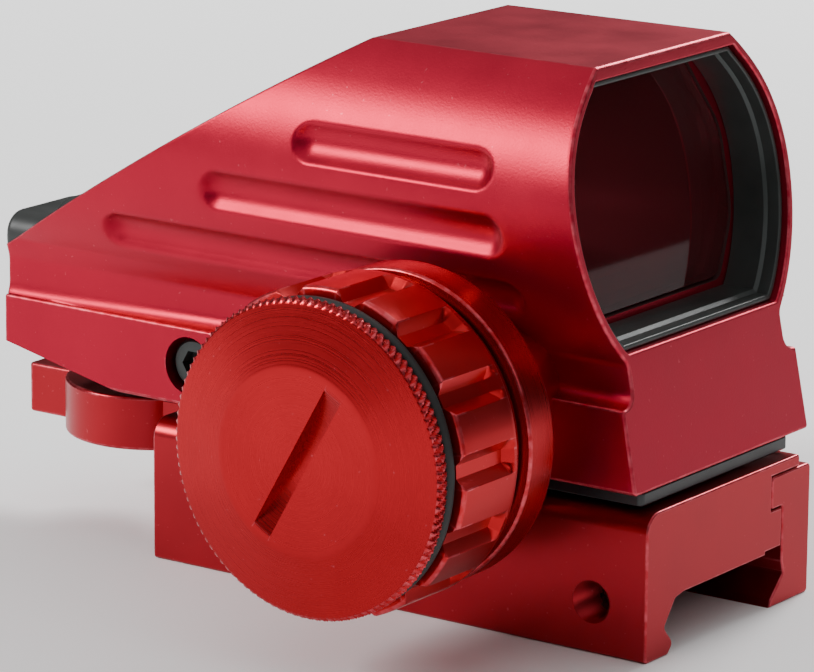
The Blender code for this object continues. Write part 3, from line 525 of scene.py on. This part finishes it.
def circuit_board(name):
    made, nodes, links, shader = new_material(name)
    coords = object_coords(nodes)
    cells = nodes.new("ShaderNodeTexVoronoi")
    cells.inputs["Scale"].default_value = 1400.0
    links.new(coords, cells.inputs["Vector"])
    tracks = ramp(nodes, links, cells.outputs["Distance"], 0.06, 0.1, 1.0, 0.0)
    links.new(mix_colour(nodes, links, tracks, (0.02, 0.12, 0.05, 1.0), (0.6, 0.42, 0.15, 1.0)),
              shader.inputs["Base Color"])
    links.new(ramp(nodes, links, tracks, 0.0, 1.0, 0.45, 0.25), shader.inputs["Roughness"])
    return made


# ---------------------------------------------------------------- housing

def front_x(z):
    return FRONT_X - (z - LEAN_Z) * LEAN


def rear_x(z):
    return max(TAIL_X, ROOF_REAR_X - (TOP_Z - z) / SLOPE)


def narrowed(place):
    """Taper of the housing's width from the front to the tail."""
    share = (FRONT_X - place.x) / (FRONT_X - TAIL_X)
    return Vector((place.x, place.y * (1.0 - (1.0 - TAIL_SCALE) * share), place.z))


def leaned(place):
    """A point of a piece in the hood, moved to follow the leaning front and the taper."""
    moved = narrowed(place)
    moved.x -= (place.z - LEAN_Z) * LEAN
    return moved


def flank_curve(inset, start, end, steps):
    """Right flank in (y, z) from the neck up to the shoulder, pulled in by inset."""
    upper = (CREST_Y - UPPER_R, CREST_Z)
    turn = math.radians(UPPER_END)
    shift = SHOULDER_R - UPPER_R
    shoulder = (upper[0] - shift * math.cos(turn), upper[1] - shift * math.sin(turn))
    return (arc((CREST_Y - LOWER_R, CREST_Z), LOWER_R - inset, start, 0, steps)
            + arc(upper, UPPER_R - inset, 0, UPPER_END, steps)[1:]
            + arc(shoulder, SHOULDER_R - inset, UPPER_END, end, steps // 4)[1:])


def housing_outline():
    """Outer section at the front, with a point exactly at the height where the slope meets the tail."""
    flank = flank_curve(0.0, LOWER_END, SHOULDER_END, 44)
    sides = zip(flank, flank[1:])
    low, high = next(side for side in sides if side[0][1] <= TAIL_TOP_Z < side[1][1])
    share = (TAIL_TOP_Z - low[1]) / (high[1] - low[1])
    flank.insert(flank.index(high), (low[0] + (high[0] - low[0]) * share, TAIL_TOP_Z))
    foot = rounded([(0, BOTTOM_Z), (LEDGE_Y + 0.1, BOTTOM_Z, 0.4), (LEDGE_Y, LEDGE_Z, 0.3),
                    (NECK_Y, LEDGE_Z, 1.5), (NECK_Y, 22.95, 1.3), flank[0]])[1:-1]
    roof = rounded([flank[-1], (flank[-1][0] - 0.4, TOP_Z, 0.4), (0, TOP_Z)])[1:-1]
    return divided(mirrored(foot + flank + roof), 1.2)


def recess_outline(inset=0.0):
    """Recess in the front face that the bezel sits in, pulled in by inset."""
    low, high = RECESS_LOW + inset, RECESS_HIGH - inset
    flank = flank_curve(0.95 + inset, LOWER_END + 1.0, 49.5, 24)
    flank = [point for point in flank if low + 0.5 < point[1] < high - 0.5]
    corners = [(flank[0][0] - 0.75, low, 0.35)] + flank + [(flank[-1][0] - 0.6, high, 0.5)]
    return rounded(mirrored(corners), steps=4)


def tunnel_outline(inset=0.0):
    return rounded(mirrored([
        (12.6 - inset, 25.6 + inset, 2.0), (16.7 - inset, 31.5, 7.0), (16.8 - inset, 40.0, 7.0),
        (12.0 - inset, 47.6 - inset, 1.6)]), steps=10)


def flute_depth(x, z, reach):
    """Depth of the pressed-in flutes at a point of the flank; reach scales height to surface length."""
    deepest = 0.0
    for height, rear, front in FLUTES:
        along = max(rear + FLUTE_HALF_WIDTH - x, x - front + FLUTE_HALF_WIDTH, 0.0)
        ratio = math.hypot(along, (z - height) * reach) / FLUTE_HALF_WIDTH
        if ratio < 1.1:
            hollow = math.sqrt(max(0.0, 1.0 - min(ratio, 1.0) ** 2 * 0.72)) - math.sqrt(0.28)
            lip = max(0.0, 1.0 - abs(ratio - 1.0) / 0.1)
            deepest = max(deepest, hollow / (1.0 - math.sqrt(0.28)) + 0.035 * lip * lip)
    return FLUTE_DEPTH * deepest


def ease(value):
    """Smooth step from 0 to 1."""
    value = min(1.0, max(0.0, value))
    return value * value * (3.0 - 2.0 * value)


def filled_out(place):
    """Make the neck above the ledge shallower towards the tail, where the groove runs out."""
    along = ease((TAIL_X + NECK_FILL_LENGTH - place.x) / NECK_FILL_LENGTH)
    near = NECK_FILL * along * ease((NECK_FILL_HIGH - place.z) / (NECK_FILL_HIGH - NECK_FILL_LOW))
    full, out = LEDGE_Y - 0.12, abs(place.y)
    if near == 0.0 or out < 10.0 or out > full or place.z < LEDGE_Z:
        return place
    return Vector((place.x, math.copysign(out + (full - out) * near, place.y), place.z))


def housing_body():
    """Outer skin from tail to front: the section's points are carried along X, then shaped."""
    outline = housing_outline()
    outward = normals(outline)
    turns = [math.pi / 2 * k / 4 for k in range(5)]
    rows = [("rear", RIM * (1 - math.cos(a)), RIM * (1 - math.sin(a))) for a in turns]
    rows += [("mid", k / HOUSING_ROWS, 0.0) for k in range(1, HOUSING_ROWS)]
    rows += [("front", RIM * (1 - math.sin(a)), RIM * (1 - math.cos(a))) for a in turns]
    rings = []
    for kind, value, inset in rows:
        ring = []
        for (y, z), n in zip(outline, outward):
            z_here = z if abs(z - TAIL_TOP_Z) < 1e-6 else z - n.y * inset
            rear, front = rear_x(z_here), front_x(z_here)
            if kind == "rear":
                x = rear + value
            elif kind == "front":
                x = front - value
            else:
                x = rear + RIM + (front - rear - 2 * RIM) * value
            fluted = kind == "mid" and FLUTED_LOW < z < FLUTED_HIGH and abs(y) > FLUTED_Y
            sink = flute_depth(x, z, 1.0 / max(0.3, abs(n.x))) if fluted else 0.0
            place = Vector((x, y - n.x * (inset + sink), z_here - n.y * sink))
            ring.append(narrowed(filled_out(place)) * MM)
        rings.append(ring)
    bm = bmesh.new()
    loops = [[bm.verts.new(co) for co in ring] for ring in rings]
    count = len(outline)
    for low, high in zip(loops, loops[1:]):
        for i in range(count):
            j = (i + 1) % count
            bm.faces.new((low[i], low[j], high[j], high[i]))
    bm.faces.new(loops[-1])
    rear_loop = loops[0]
    above = [i for i, v in enumerate(rear_loop) if v.co.z > (TAIL_TOP_Z - 0.01) * MM]
    first, last = above[0], above[-1]
    bm.faces.new(rear_loop[first:last + 1])
    bm.faces.new(rear_loop[last:] + rear_loop[:first + 1])
    return add_object("housing_shell", bm)


def tunnel_cutter():
    """Opening through the housing behind the recess, eased where it meets the sloping rear rim."""
    outline = divided(tunnel_outline(), 1.5)
    outward = normals(outline)
    rows = [("rear", -8.0, 2.0), ("rear", -0.3, 0.4), ("rear", 0.0, 0.2), ("rear", 0.35, 0.0)]
    rows += [("rib", k, TUNNEL_RIB_DEPTH if k % 2 else 0.0) for k in range(TUNNEL_RIBS)]
    rows += [("front", 8.0, 0.0), ("front", -6.0, 0.0)]
    rings = []
    for kind, value, outset in rows:
        ring = []
        for (y, z), n in zip(outline, outward):
            end = front_x(z) - 9.0
            start = max(rear_x(z) + 0.6, end - TUNNEL_RIB_LENGTH)
            x = {"rear": rear_x(z) + value, "front": front_x(z) - value,
                 "rib": start + (end - start) * value / TUNNEL_RIBS}[kind]
            ring.append(narrowed(Vector((x, y + n.x * outset, z + n.y * outset))) * MM)
        rings.append(ring)
    return skin("tunnel_cutter", rings)


def recess_cutter():
    """Seat of the bezel, with its mouth rounded."""
    start = FRONT_X - BEZEL_FRONT - BEZEL_DEPTH - 0.1
    rows = [(start, 0.0), (FRONT_X - 0.22, 0.0), (FRONT_X - 0.15, -0.03), (FRONT_X - 0.06, -0.1),
            (FRONT_X + 0.02, -0.24), (FRONT_X + 6.0, -0.24)]
    return extruded("recess_cutter", "X", recess_outline(), 0, 0, shape=leaned, rows=rows)


def painted(obj, material):
    """Give a cutter or part the material that its faces bring to the finished piece."""
    obj.data.materials.append(material)
    return obj


def make_housing(outside, inside):
    body = painted(housing_body(), outside)
    round_boss = arc(TURRET, TURRET_BOSS_R, 0, 357, 119)
    boss = extruded("turret_boss", "Y", round_boss, 13.0, TURRET_BOSS_T, 0.1, 0.3)
    join(body, painted(boss, outside))
    red = [
        recess_cutter(),
        extruded("heel", "Y", [(-33.7, 8.0), (-33.7, BOTTOM_Z), (-52.0, 14.9), (-52.0, 8.0)], -25, 25, 0, 0),
        block("under_boss", (-8, 24), (-15.2, -12.0), (0, BOTTOM_Z - 0.01)),
        rod("windage_recess", "Y", WINDAGE, 2.95, 12.0, 20),
        rod("windage_bore", "Y", WINDAGE, 1.45, 8, 14),
        rod("plug_thread", "Y", WINDAGE, 2.9, -20, -8)]
    # these tools give the inner walls the dark red interior colour, painted shade for the unlit inside of the
    # housing
    black = [
        tunnel_cutter(),
        block("cavity", (-46.0, 12.0), (-10.0, 10.0), (0, 17.5)),
        block("channel", (-45.4, 10.0), (-10.5, 10.5), (18.6, 30)),
        block("sill", (TAIL_X - 5, -44.4), (-10.5, 10.5), (20.5, 30))]
    cut(body, *[painted(tool, inside) for tool in black], *[painted(tool, outside) for tool in red])
    body.name = "housing_shell"
    dress(body, "housing", None, ["housing"], angle=48.0)


# ---------------------------------------------------------------- objective

def make_objective(black, glass):
    front = FRONT_X - BEZEL_FRONT
    back = front - BEZEL_DEPTH
    profile = rounded([(0.0, back), (0.0, front, 0.2), (0.55, front, 0.15), (0.6, front - 1.3),
                       (0.9, front - 1.6, 0.1), (0.9, back)], steps=3)
    bezel = bordered("objective_bezel_ring", recess_outline(0.1), profile, leaned)
    dress(bezel, "housing", black, ["objective_bezel"])
    lens_front = back - 0.3
    lens_back = lens_front - 2.6
    lens = extruded("objective_glass", "X", tunnel_outline(0.2), lens_back, lens_front, 0.15, 0.15, leaned)
    dress(lens, "housing", glass, ["objective_lens"])
    ring_front = lens_front - 2.9
    profile = rounded([(0.0, ring_front - 2.0), (0.0, ring_front), (1.0, ring_front, 0.2),
                       (1.0, ring_front - 2.0, 0.2)], steps=3)
    ring = bordered("lens_retainer_ring", tunnel_outline(0.2), profile, leaned)
    dress(ring, "housing", black, ["lens_retainer"])


# ---------------------------------------------------------------- turret

def make_turret_body(turned):
    body = lathe("turret_flange_and_hub", "Y", TURRET, rounded([
        (1.6, FLANGE_BACK), (FLANGE_R, FLANGE_BACK, 0.3), (FLANGE_R, FLANGE_FACE, 0.35),
        (HUB_R, FLANGE_FACE, 0.1), (HUB_R, HUB_END, 0.2), (HUB_BORE_R, HUB_END, 0.2),
        (HUB_BORE_R, HUB_FLOOR), (1.6, HUB_FLOOR)], steps=4), 160, closed=True)
    places = arc(TURRET, TURRET_SCREW_CIRCLE_R, 90, 330, 2)
    cut(body, *[rod(f"turret_hole_{i}", "Y", place, 1.55, 15, 30, 24) for i, place in enumerate(places)],
        *[rod(f"turret_head_{i}", "Y", place, 2.5, 26.4, 30, 32) for i, place in enumerate(places)])
    dress(body, "housing", turned, ["turret_body"])


def knob_angles():
    """Angles in degrees at which the knob has points: the corners of each flute and of each land."""
    pitch = 360.0 / KNOB_FLUTES
    floor, end = KNOB_FLUTE_FLOOR, KNOB_FLUTE_FLOOR + KNOB_FLUTE_WALL
    offsets = [0.0, floor - 0.35, floor, floor + 0.35, floor + KNOB_FLUTE_WALL / 2]
    offsets += [end - 0.35, end, end + 0.45]
    offsets += [pitch - offset for offset in offsets[1:]] + [pitch / 2 + 1.7 * k for k in range(-2, 3)]
    return sorted({round((KNOB_FLUTE_FIRST + pitch * i + offset) % 360.0, 4)
                   for i in range(KNOB_FLUTES) for offset in offsets})


def knob_radius(angle, radius, along):
    """Radius of the grip: lands with flat-bottomed, slanting-sided flutes between them."""
    if along < KNOB_FLUTE_START or radius < 15.0:
        return radius
    pitch = 360.0 / KNOB_FLUTES
    place = (angle - KNOB_FLUTE_FIRST) % pitch
    away = min(place, pitch - place)
    sink = min(1.0, max(0.0, (KNOB_FLUTE_FLOOR + KNOB_FLUTE_WALL - away) / KNOB_FLUTE_WALL))
    sink = sink * 0.94 + 0.06 * sink * sink * (3 - 2 * sink)
    fade = min(1.0, max(0.0, (along - KNOB_FLUTE_START) / KNOB_FLUTE_RUN_IN))
    return min(radius, KNOB_R - KNOB_FLUTE_DEPTH * sink * fade)


def make_knob(gloss):
    profile = rounded([
        (KNOB_BORE_R, KNOB_BACK), (13.8, KNOB_BACK), (13.8, 25.6), (14.5, 25.6, 0.25), (14.5, 27.5, 0.1),
        (KNOB_R, 27.6, 0.3), (KNOB_R, KNOB_FACE, 0.4), (13.6, KNOB_FACE, 0.15), (13.6, 34.6),
        (KNOB_BORE_R, 34.6)], steps=4)
    dense = []
    for here, there in zip(profile, profile[1:] + profile[:1]):
        dense.append(here)
        if min(here[0], there[0]) > 15.5 and there[1] - here[1] > 2:
            dense += [(here[0], along) for along in KNOB_ROWS]
    rings = []
    for radius, along in dense:
        ring = []
        for angle in knob_angles():
            turn, reach = math.radians(angle), knob_radius(angle, radius, along)
            across, up = TURRET[0] + reach * math.cos(turn), TURRET[1] + reach * math.sin(turn)
            ring.append(AXES["Y"] @ Vector((across, up, along)) * MM)
        rings.append(ring)
    knob = skin("brightness_knob_grip", rings, ring_closed=True)
    dress(knob, "brightness_knob", gloss, ["brightness_knob"], angle=28)


def make_seal(rubber):
    seal = lathe("cap_seal_ring", "Y", TURRET, rounded([
        (SEAL_BORE_R, SEAL_BACK), (SEAL_R, SEAL_BACK, 0.55), (SEAL_R, SEAL_FACE, 0.55),
        (SEAL_BORE_R, SEAL_FACE)]), 128, closed=True)
    dress(seal, "cap_seal", rubber, ["cap_seal"])


def cap_radius(angle, radius, along):
    """Diagonal serrations round the cap's rim."""
    if radius < 14.7 or along > 39.3:
        return radius
    turn = angle * CAP_TEETH / math.tau + (along - CAP_BACK) * CAP_TOOTH_TWIST
    tooth = abs((turn % 1.0) - 0.5) * 2.0
    return radius - CAP_TOOTH_DEPTH * tooth * min(1.0, (radius - 14.7) / 0.45)


def make_cap(turned):
    cap = lathe("battery_cap_body", "Y", TURRET, [
        (0, 33.7), (9.6, 33.7), (9.9, 34.0), (9.9, CAP_BACK), (14.5, CAP_BACK), (14.9, 37.96), (15.15, 38.12),
        (15.3, 38.35), (15.3, 38.6), (15.3, 38.85), (15.25, 39.05), (15.1, 39.24), (14.85, 39.37),
        (14.6, 39.44), (9.2, 40.45), (8.95, 40.49), (8.6, CAP_FACE), (0, CAP_FACE)],
        CAP_TEETH * 6, cap_radius)
    cut(cap, coin_slot_cutter())
    dress(cap, "battery_cap", turned, ["battery_cap"], angle=24)


def coin_slot_cutter():
    """Disc on edge, so the slot's floor is an arc that is deepest in the middle."""
    depth = COIN_SLOT_DEPTH
    radius = ((COIN_SLOT_LENGTH / 2) ** 2 + depth ** 2) / (2 * depth)
    bm = bmesh.new()
    bmesh.ops.create_cone(bm, cap_ends=True, segments=256, radius1=radius * MM, radius2=radius * MM,
                          depth=COIN_SLOT_WIDTH * MM)
    across = math.radians(COIN_SLOT_ANGLE + 90.0)
    turn = Vector((0, 0, 1)).rotation_difference(Vector((math.cos(across), 0, math.sin(across))))
    place = Vector((TURRET[0], -(CAP_FACE - depth + radius), TURRET[1])) * MM
    bmesh.ops.transform(bm, matrix=Matrix.Translation(place) @ turn.to_matrix().to_4x4(), verts=bm.verts)
    return add_object("coin_slot", bm)


# ---------------------------------------------------------------- mount

def make_base(gloss):
    outline = rounded([
        (-LEG_Y, LEG_Z, 0.4), (-10.2, LEG_Z, 0.4), (-9.2, -4.6, 0.7), (-10.9, -2.8, 0.4), (-9.0, -0.3, 0.5),
        (-7.4, 0.0), (7.4, 0.0), (7.4, 0.35), (10.3, 0.35), (10.3, 4.3), (8.3, 4.3),
        (8.3, 7.8), (13.5, 7.8), (13.5, BASE_TOP_Z, 0.35), (-LEG_Y, BASE_TOP_Z, 2.0)])
    base = extruded("mount_base_block", "X", divided(outline, 4.0),
                    -BASE_HALF_LENGTH, BASE_HALF_LENGTH, 0.22, 0.22)
    round_boss = arc((BOSS_X, 0), BOSS_R, 0, 357, 119)
    boss = extruded("elevation_boss", "Z", round_boss, BOSS_LOW, BASE_TOP_Z, 0.35, 0.35)
    web = block("boss_web", (BOSS_X, 2.0 - BASE_HALF_LENGTH), (-7, 7), (BOSS_LOW + 0.4, BASE_TOP_Z - 0.4))
    tab_outline = rounded([
        (TAB_END_X, -TAB_HALF_WIDTH, 0.5), (TAB_NECK_X, -TAB_HALF_WIDTH, 1.6), (-45.0, -6.0), (-45.0, 6.0),
        (TAB_NECK_X, TAB_HALF_WIDTH, 1.6), (TAB_END_X, TAB_HALF_WIDTH, 0.5)])
    tab = extruded("boss_tab", "Z", tab_outline, BOSS_LOW + 0.1, BASE_TOP_Z - 0.3, 0.3, 0.3)
    join(base, boss, web, tab)
    cut(base,
        block("lug_pocket", (7, 17), (-5.4, 5.4), (2.6, 12)),
        rod("pitch_bore", "Y", PITCH_PIN, PIVOT_BORE_R, -20, 11.0),
        rod("yaw_head_pocket", "Z", (YAW_X, 0), 3.4, 6.0, 12),
        rod("spring_pocket", "Z", (BOSS_X, 0), 3.6, 6.6, 12),
        rod("elevation_bore", "Z", (BOSS_X, 0), 1.75, 4, 8),
        rod("elevation_counterbore", "Z", (BOSS_X, 0), 2.9, 0, 5.2),
        rod("lock_bore", "X", (0, 6.0), 1.3, -60, -46, 24),
        *[thread_cutter(name + "_thread", place) for name, place in CLAMP_SCREWS.items()])
    dress(base, "mount", gloss, ["mount_base"])


def make_clamp(gloss, black):
    jaw = rounded([
        (15.6, LEG_Z, 0.4), (15.6, 7.7, 0.5), (8.4, 7.7, 0.5), (8.4, 4.42, 0.3), (10.42, 4.42, 0.3),
        (10.5, -1.3, 0.8), (10.9, -2.6, 0.4), (8.6, -4.8, 0.4), (8.3, LEG_Z)])
    bar = extruded("clamp_bar_jaw", "X", divided(jaw, 4.0), -BASE_HALF_LENGTH, BASE_HALF_LENGTH, 0.22, 0.22)
    for name, place in CLAMP_SCREWS.items():
        cut(bar, rod(name + "_hole", "Y", place, 1.95, -20, 0),
            rod(name + "_counterbore", "Y", place, 3.8, -20, -13.6))
    dress(bar, "clamp_bar", gloss, ["clamp_bar"])
    for name, place in CLAMP_SCREWS.items():
        socket_screw(name + "_body", "Y", place, [
            (0, -18.4), (3.2, -18.4), (3.5, -18.1), (3.5, -13.9), (1.65, -13.9), (1.65, 9.4), (1.1, 10.0),
            (0, 10.0)], 1.73, (-20, -15.8), black, name, [name])


def thread_cutter(name, place):
    """Tapped hole through the near leg: ring grooves for the thread, and a plain mouth."""
    profile = [(0, -13.0), (1.95, -13.0), (1.95, 6.0)]
    for k in range(THREAD_STEPS):
        profile.append((THREAD_R + (THREAD_DEPTH if k % 2 else 0.0), THREAD_START + k * THREAD_PITCH / 2))
    profile += [(2.12, 14.15), (2.12, 15.1), (0, 15.1)]
    return lathe(name, "Y", place, profile, 48)


def socket_screw(name, axis, place, profile, key, depth, material, body, replaces):
    """Screw with a hexagonal socket; key is the socket's corner radius."""
    screw = lathe(name, axis, place, profile, 48)
    hexagon = extruded(name + "_key", axis, arc(place, key, 0, 300, 5), depth[0], depth[1], 0, 0)
    cut(screw, hexagon)
    dress(screw, body, material, replaces)


# ---------------------------------------------------------------- carrier, adjusters and tail

def make_carrier(slab):
    tongue = rounded([
        (PLATE_REAR_X, -PLATE_HALF_WIDTH, 1.0), (PLATE_FRONT_X, -PLATE_HALF_WIDTH, 0.6),
        (PLATE_FRONT_X, PLATE_HALF_WIDTH, 0.6), (PLATE_REAR_X, PLATE_HALF_WIDTH, 1.0)])
    plate = extruded("carrier_plate_body", "Z", divided(tongue, 4.0), PLATE_UNDER_Z, PLATE_OVER_Z, 0.2, 0.2)
    beam = block("carrier_beam", (PLATE_LOW[0], 11.4), (-7, 7), (10.2, 12.8))
    lug = block("carrier_lug", (8, 16), (-5, 5), (3.2, 10.5))
    join(plate, beam, lug)
    cut(plate, rod("lug_bore", "Y", PITCH_PIN, PIVOT_BORE_R, -20, 20),
        rod("yaw_bore", "Z", (YAW_X, 0), 1.8, 0, 20), rod("nut_bore", "Z", (BOSS_X, 0), 2.9, 0, 20))
    dress(plate, "carrier", slab, ["carrier_plate"])


def make_adjusters(black):
    socket_screw("windage_screw_body", "Y", WINDAGE, [
        (0, 13.7), (2.3, 13.7), (2.6, 13.4), (2.6, 12.3), (1.05, 12.3), (1.05, -3.6), (0, -3.6)],
        1.45, (12.5, 15), black, "windage_screw", ["windage_screw"])
    socket_screw("elevation_screw_body", "Z", (BOSS_X, 0), [
        (0, 15.2), (1.1, 15.2), (1.45, 14.8), (1.45, 4.9), (2.6, 4.9), (2.6, 3.8), (2.3, 3.5), (0, 3.5)],
        1.15, (2, 4.6), black, "elevation_screw", ["elevation_screw"])
    socket_screw("windage_plug_body", "Y", WINDAGE, [
        (0, -13.8), (2.3, -13.8), (2.6, -13.5), (2.6, -10.3), (0, -10.3)],
        1.45, (-16, -12.4), black, "housing", ["windage_spring_plug"])


def make_tail(plastic):
    outline = rounded([(-7.0, 20.8), (7.0, 20.8), (7.0, 27.7, 3.0), (-7.0, 27.7, 3.0)], steps=8)
    cover = extruded("emitter_housing_body", "X", divided(outline, 2.0), -48.7, -38.0, 0.6, 0.4)
    cut(cover, rod("shaft_bore", "X", (0, SHAFT_Z), 1.3, -60, -30, 32),
        rod("led_bore", "X", (0, LED_Z), 1.7, -45.95, -30, 32),
        block("board_slot", (-47.2, -44.0), (-4.6, 4.6), (24.6, 30)),
        *[rod(f"emitter_screw_hole_{side}", "Z", (EMITTER_SCREW_X, side * EMITTER_SCREW_Y), 1.0, 18, 30, 24)
          for side in (-1, 1)])
    dress(cover, "housing", plastic, ["emitter_housing"])
    lever = rounded([(-6.3, 20.1, 2.4), (6.3, 20.1, 2.4), (6.3, 25.5, 2.4), (-6.3, 25.5, 2.4)], steps=8)
    knob = extruded("reticle_selector_knob", "X", divided(lever, 0.7), -55.6, -49.4, 0.8, 0.3)
    dress(knob, "reticle_selector", plastic, ["reticle_selector"])


# ---------------------------------------------------------------- surroundings

def look_from(obj, place, target, roll=0.0):
    """Put a camera or light at a place, in metres, and point it at the target."""
    forward = (Vector(target) - Vector(place)).normalized()
    right = forward.cross(Vector((0, 0, 1))).normalized()
    up = right.cross(forward)
    x_axis = right * math.cos(roll) + up * math.sin(roll)
    y_axis = up * math.cos(roll) - right * math.sin(roll)
    turn = Matrix((x_axis, y_axis, -forward)).transposed().to_4x4()
    obj.matrix_world = Matrix.Translation(Vector(place)) @ turn


def make_camera():
    data = bpy.data.cameras.new("camera")
    data.lens = CAMERA_LENS
    data.sensor_width = 36.0
    data.clip_start = 0.01
    data.clip_end = 20.0
    camera = bpy.data.objects.new("camera", data)
    bpy.context.scene.collection.objects.link(camera)
    look_from(camera, CAMERA_PLACE, CAMERA_TARGET, math.radians(CAMERA_ROLL))
    bpy.context.scene.camera = camera


def make_light(name, place, target, size, power):
    data = bpy.data.lights.new(name, "AREA")
    data.shape = "RECTANGLE"
    data.size, data.size_y = size
    data.energy = power
    light = bpy.data.objects.new(name, data)
    bpy.context.scene.collection.objects.link(light)
    look_from(light, place, target)


def make_floor():
    bm = bmesh.new()
    bmesh.ops.create_grid(bm, x_segments=4, y_segments=4, size=3.0)
    floor = add_object("floor", bm)
    floor.location = (0, 0, BASE_LOW[2] * MM)
    made, nodes, links, shader = new_material("pale_floor")
    coords = object_coords(nodes)
    tone = ramp(nodes, links, noise(nodes, links, coords, 3.0, 2.0), 0.3, 0.7)
    pale = mix_colour(nodes, links, tone, (0.97, 0.97, 0.97, 1), (0.98, 0.98, 0.98, 1))
    links.new(pale, shader.inputs["Base Color"])
    shader.inputs["Roughness"].default_value = 0.8
    shader.inputs["Specular IOR Level"].default_value = 0.1
    floor.data.materials.append(made)


def make_world():
    """Studio that is bright overhead and dim round the horizon."""
    world = bpy.data.worlds.new("studio")
    world.use_nodes = True
    nodes, links = world.node_tree.nodes, world.node_tree.links
    split = nodes.new("ShaderNodeSeparateXYZ")
    links.new(nodes.new("ShaderNodeTexCoord").outputs["Generated"], split.inputs[0])
    strength = ramp(nodes, links, split.outputs[2], 0.3, 0.95, 0.02, 0.9)
    background = nodes["Background"]
    background.inputs["Color"].default_value = (1, 1, 1, 1)
    links.new(strength, background.inputs["Strength"])
    bpy.context.scene.world = world


def make_lights():
    make_light("key", (-0.52, -0.57, 0.46), (0, 0, 0.02), (0.20, 0.28), 6.0)
    make_light("back", (-0.10, 0.95, 0.62), (-0.30, 0.75, 0), (0.5, 0.3), 17.0)
    make_light("side", (0.78, -0.22, 0.48), (0, 0, 0.02), (0.3, 0.3), 0.35)


# ---------------------------------------------------------------- everything

make_camera()
make_floor()
make_world()
make_lights()

red_satin = anodised("crimson_bead_blasted", CRIMSON, WORN, 0.40)
red_gloss = anodised("scarlet_anodised", SCARLET, WORN, 0.30, grain_depth=0.15)
red_base = anodised("garnet_anodised", GARNET, WORN, 0.33, grain_depth=0.15)
red_turned = turned_anodised("scarlet_turned", FACED_SCARLET, WORN, 0.28, TURRET)
black_hard = plain("black_anodised", (0.030, 0.034, 0.033, 1.0), 0.30, metallic=0.5)
bezel_paint = plain("bezel_paint", (0.034, 0.040, 0.038, 1.0), 0.40, metallic=0.3)
slab_black = plain("slab_black", (0.005, 0.006, 0.007, 1.0), 0.32)
# dark red on the housing's inner walls: painted shade standing in for its unlit inside
interior_shade = plain("dark_red_interior_painted_shade", (0.05, 0.014, 0.014, 1.0), 0.55)
black_moulded = plain("black_moulded", (0.014, 0.016, 0.015, 1.0), 0.42)
seal_rubber = plain("seal_rubber", (0.01, 0.01, 0.01, 1.0), 0.6)
steel = plain("plain_steel", (0.45, 0.45, 0.46, 1.0), 0.3, metallic=1.0)
brass = plain("turned_brass", (0.62, 0.45, 0.2, 1.0), 0.3, metallic=1.0)
board = circuit_board("circuit_board")
led_epoxy = plain("led_epoxy", (0.7, 0.03, 0.02, 1.0), 0.12, transmission=0.5)
lens_glass = coated_glass("coated_glass", (0.30, 0.03, 0.045, 1.0))

CARRIED = {"steel": steel, "brass": brass, "circuit_board": board, "led": led_epoxy,
           "black_metal": black_hard}
for entry in frame["record"]["subparts"]:
    node_material = CARRIED.get(entry["material_slot"])
    if node_material:
        for slot in frame["nodes"][entry["node"]].material_slots:
            slot.material = node_material

make_housing(red_satin, interior_shade)
make_objective(bezel_paint, lens_glass)
make_turret_body(red_turned)
make_knob(red_gloss)
make_seal(seal_rubber)
make_cap(red_turned)
make_base(red_base)
make_clamp(red_base, black_hard)
make_carrier(slab_black)
make_adjusters(black_hard)
make_tail(black_moulded)
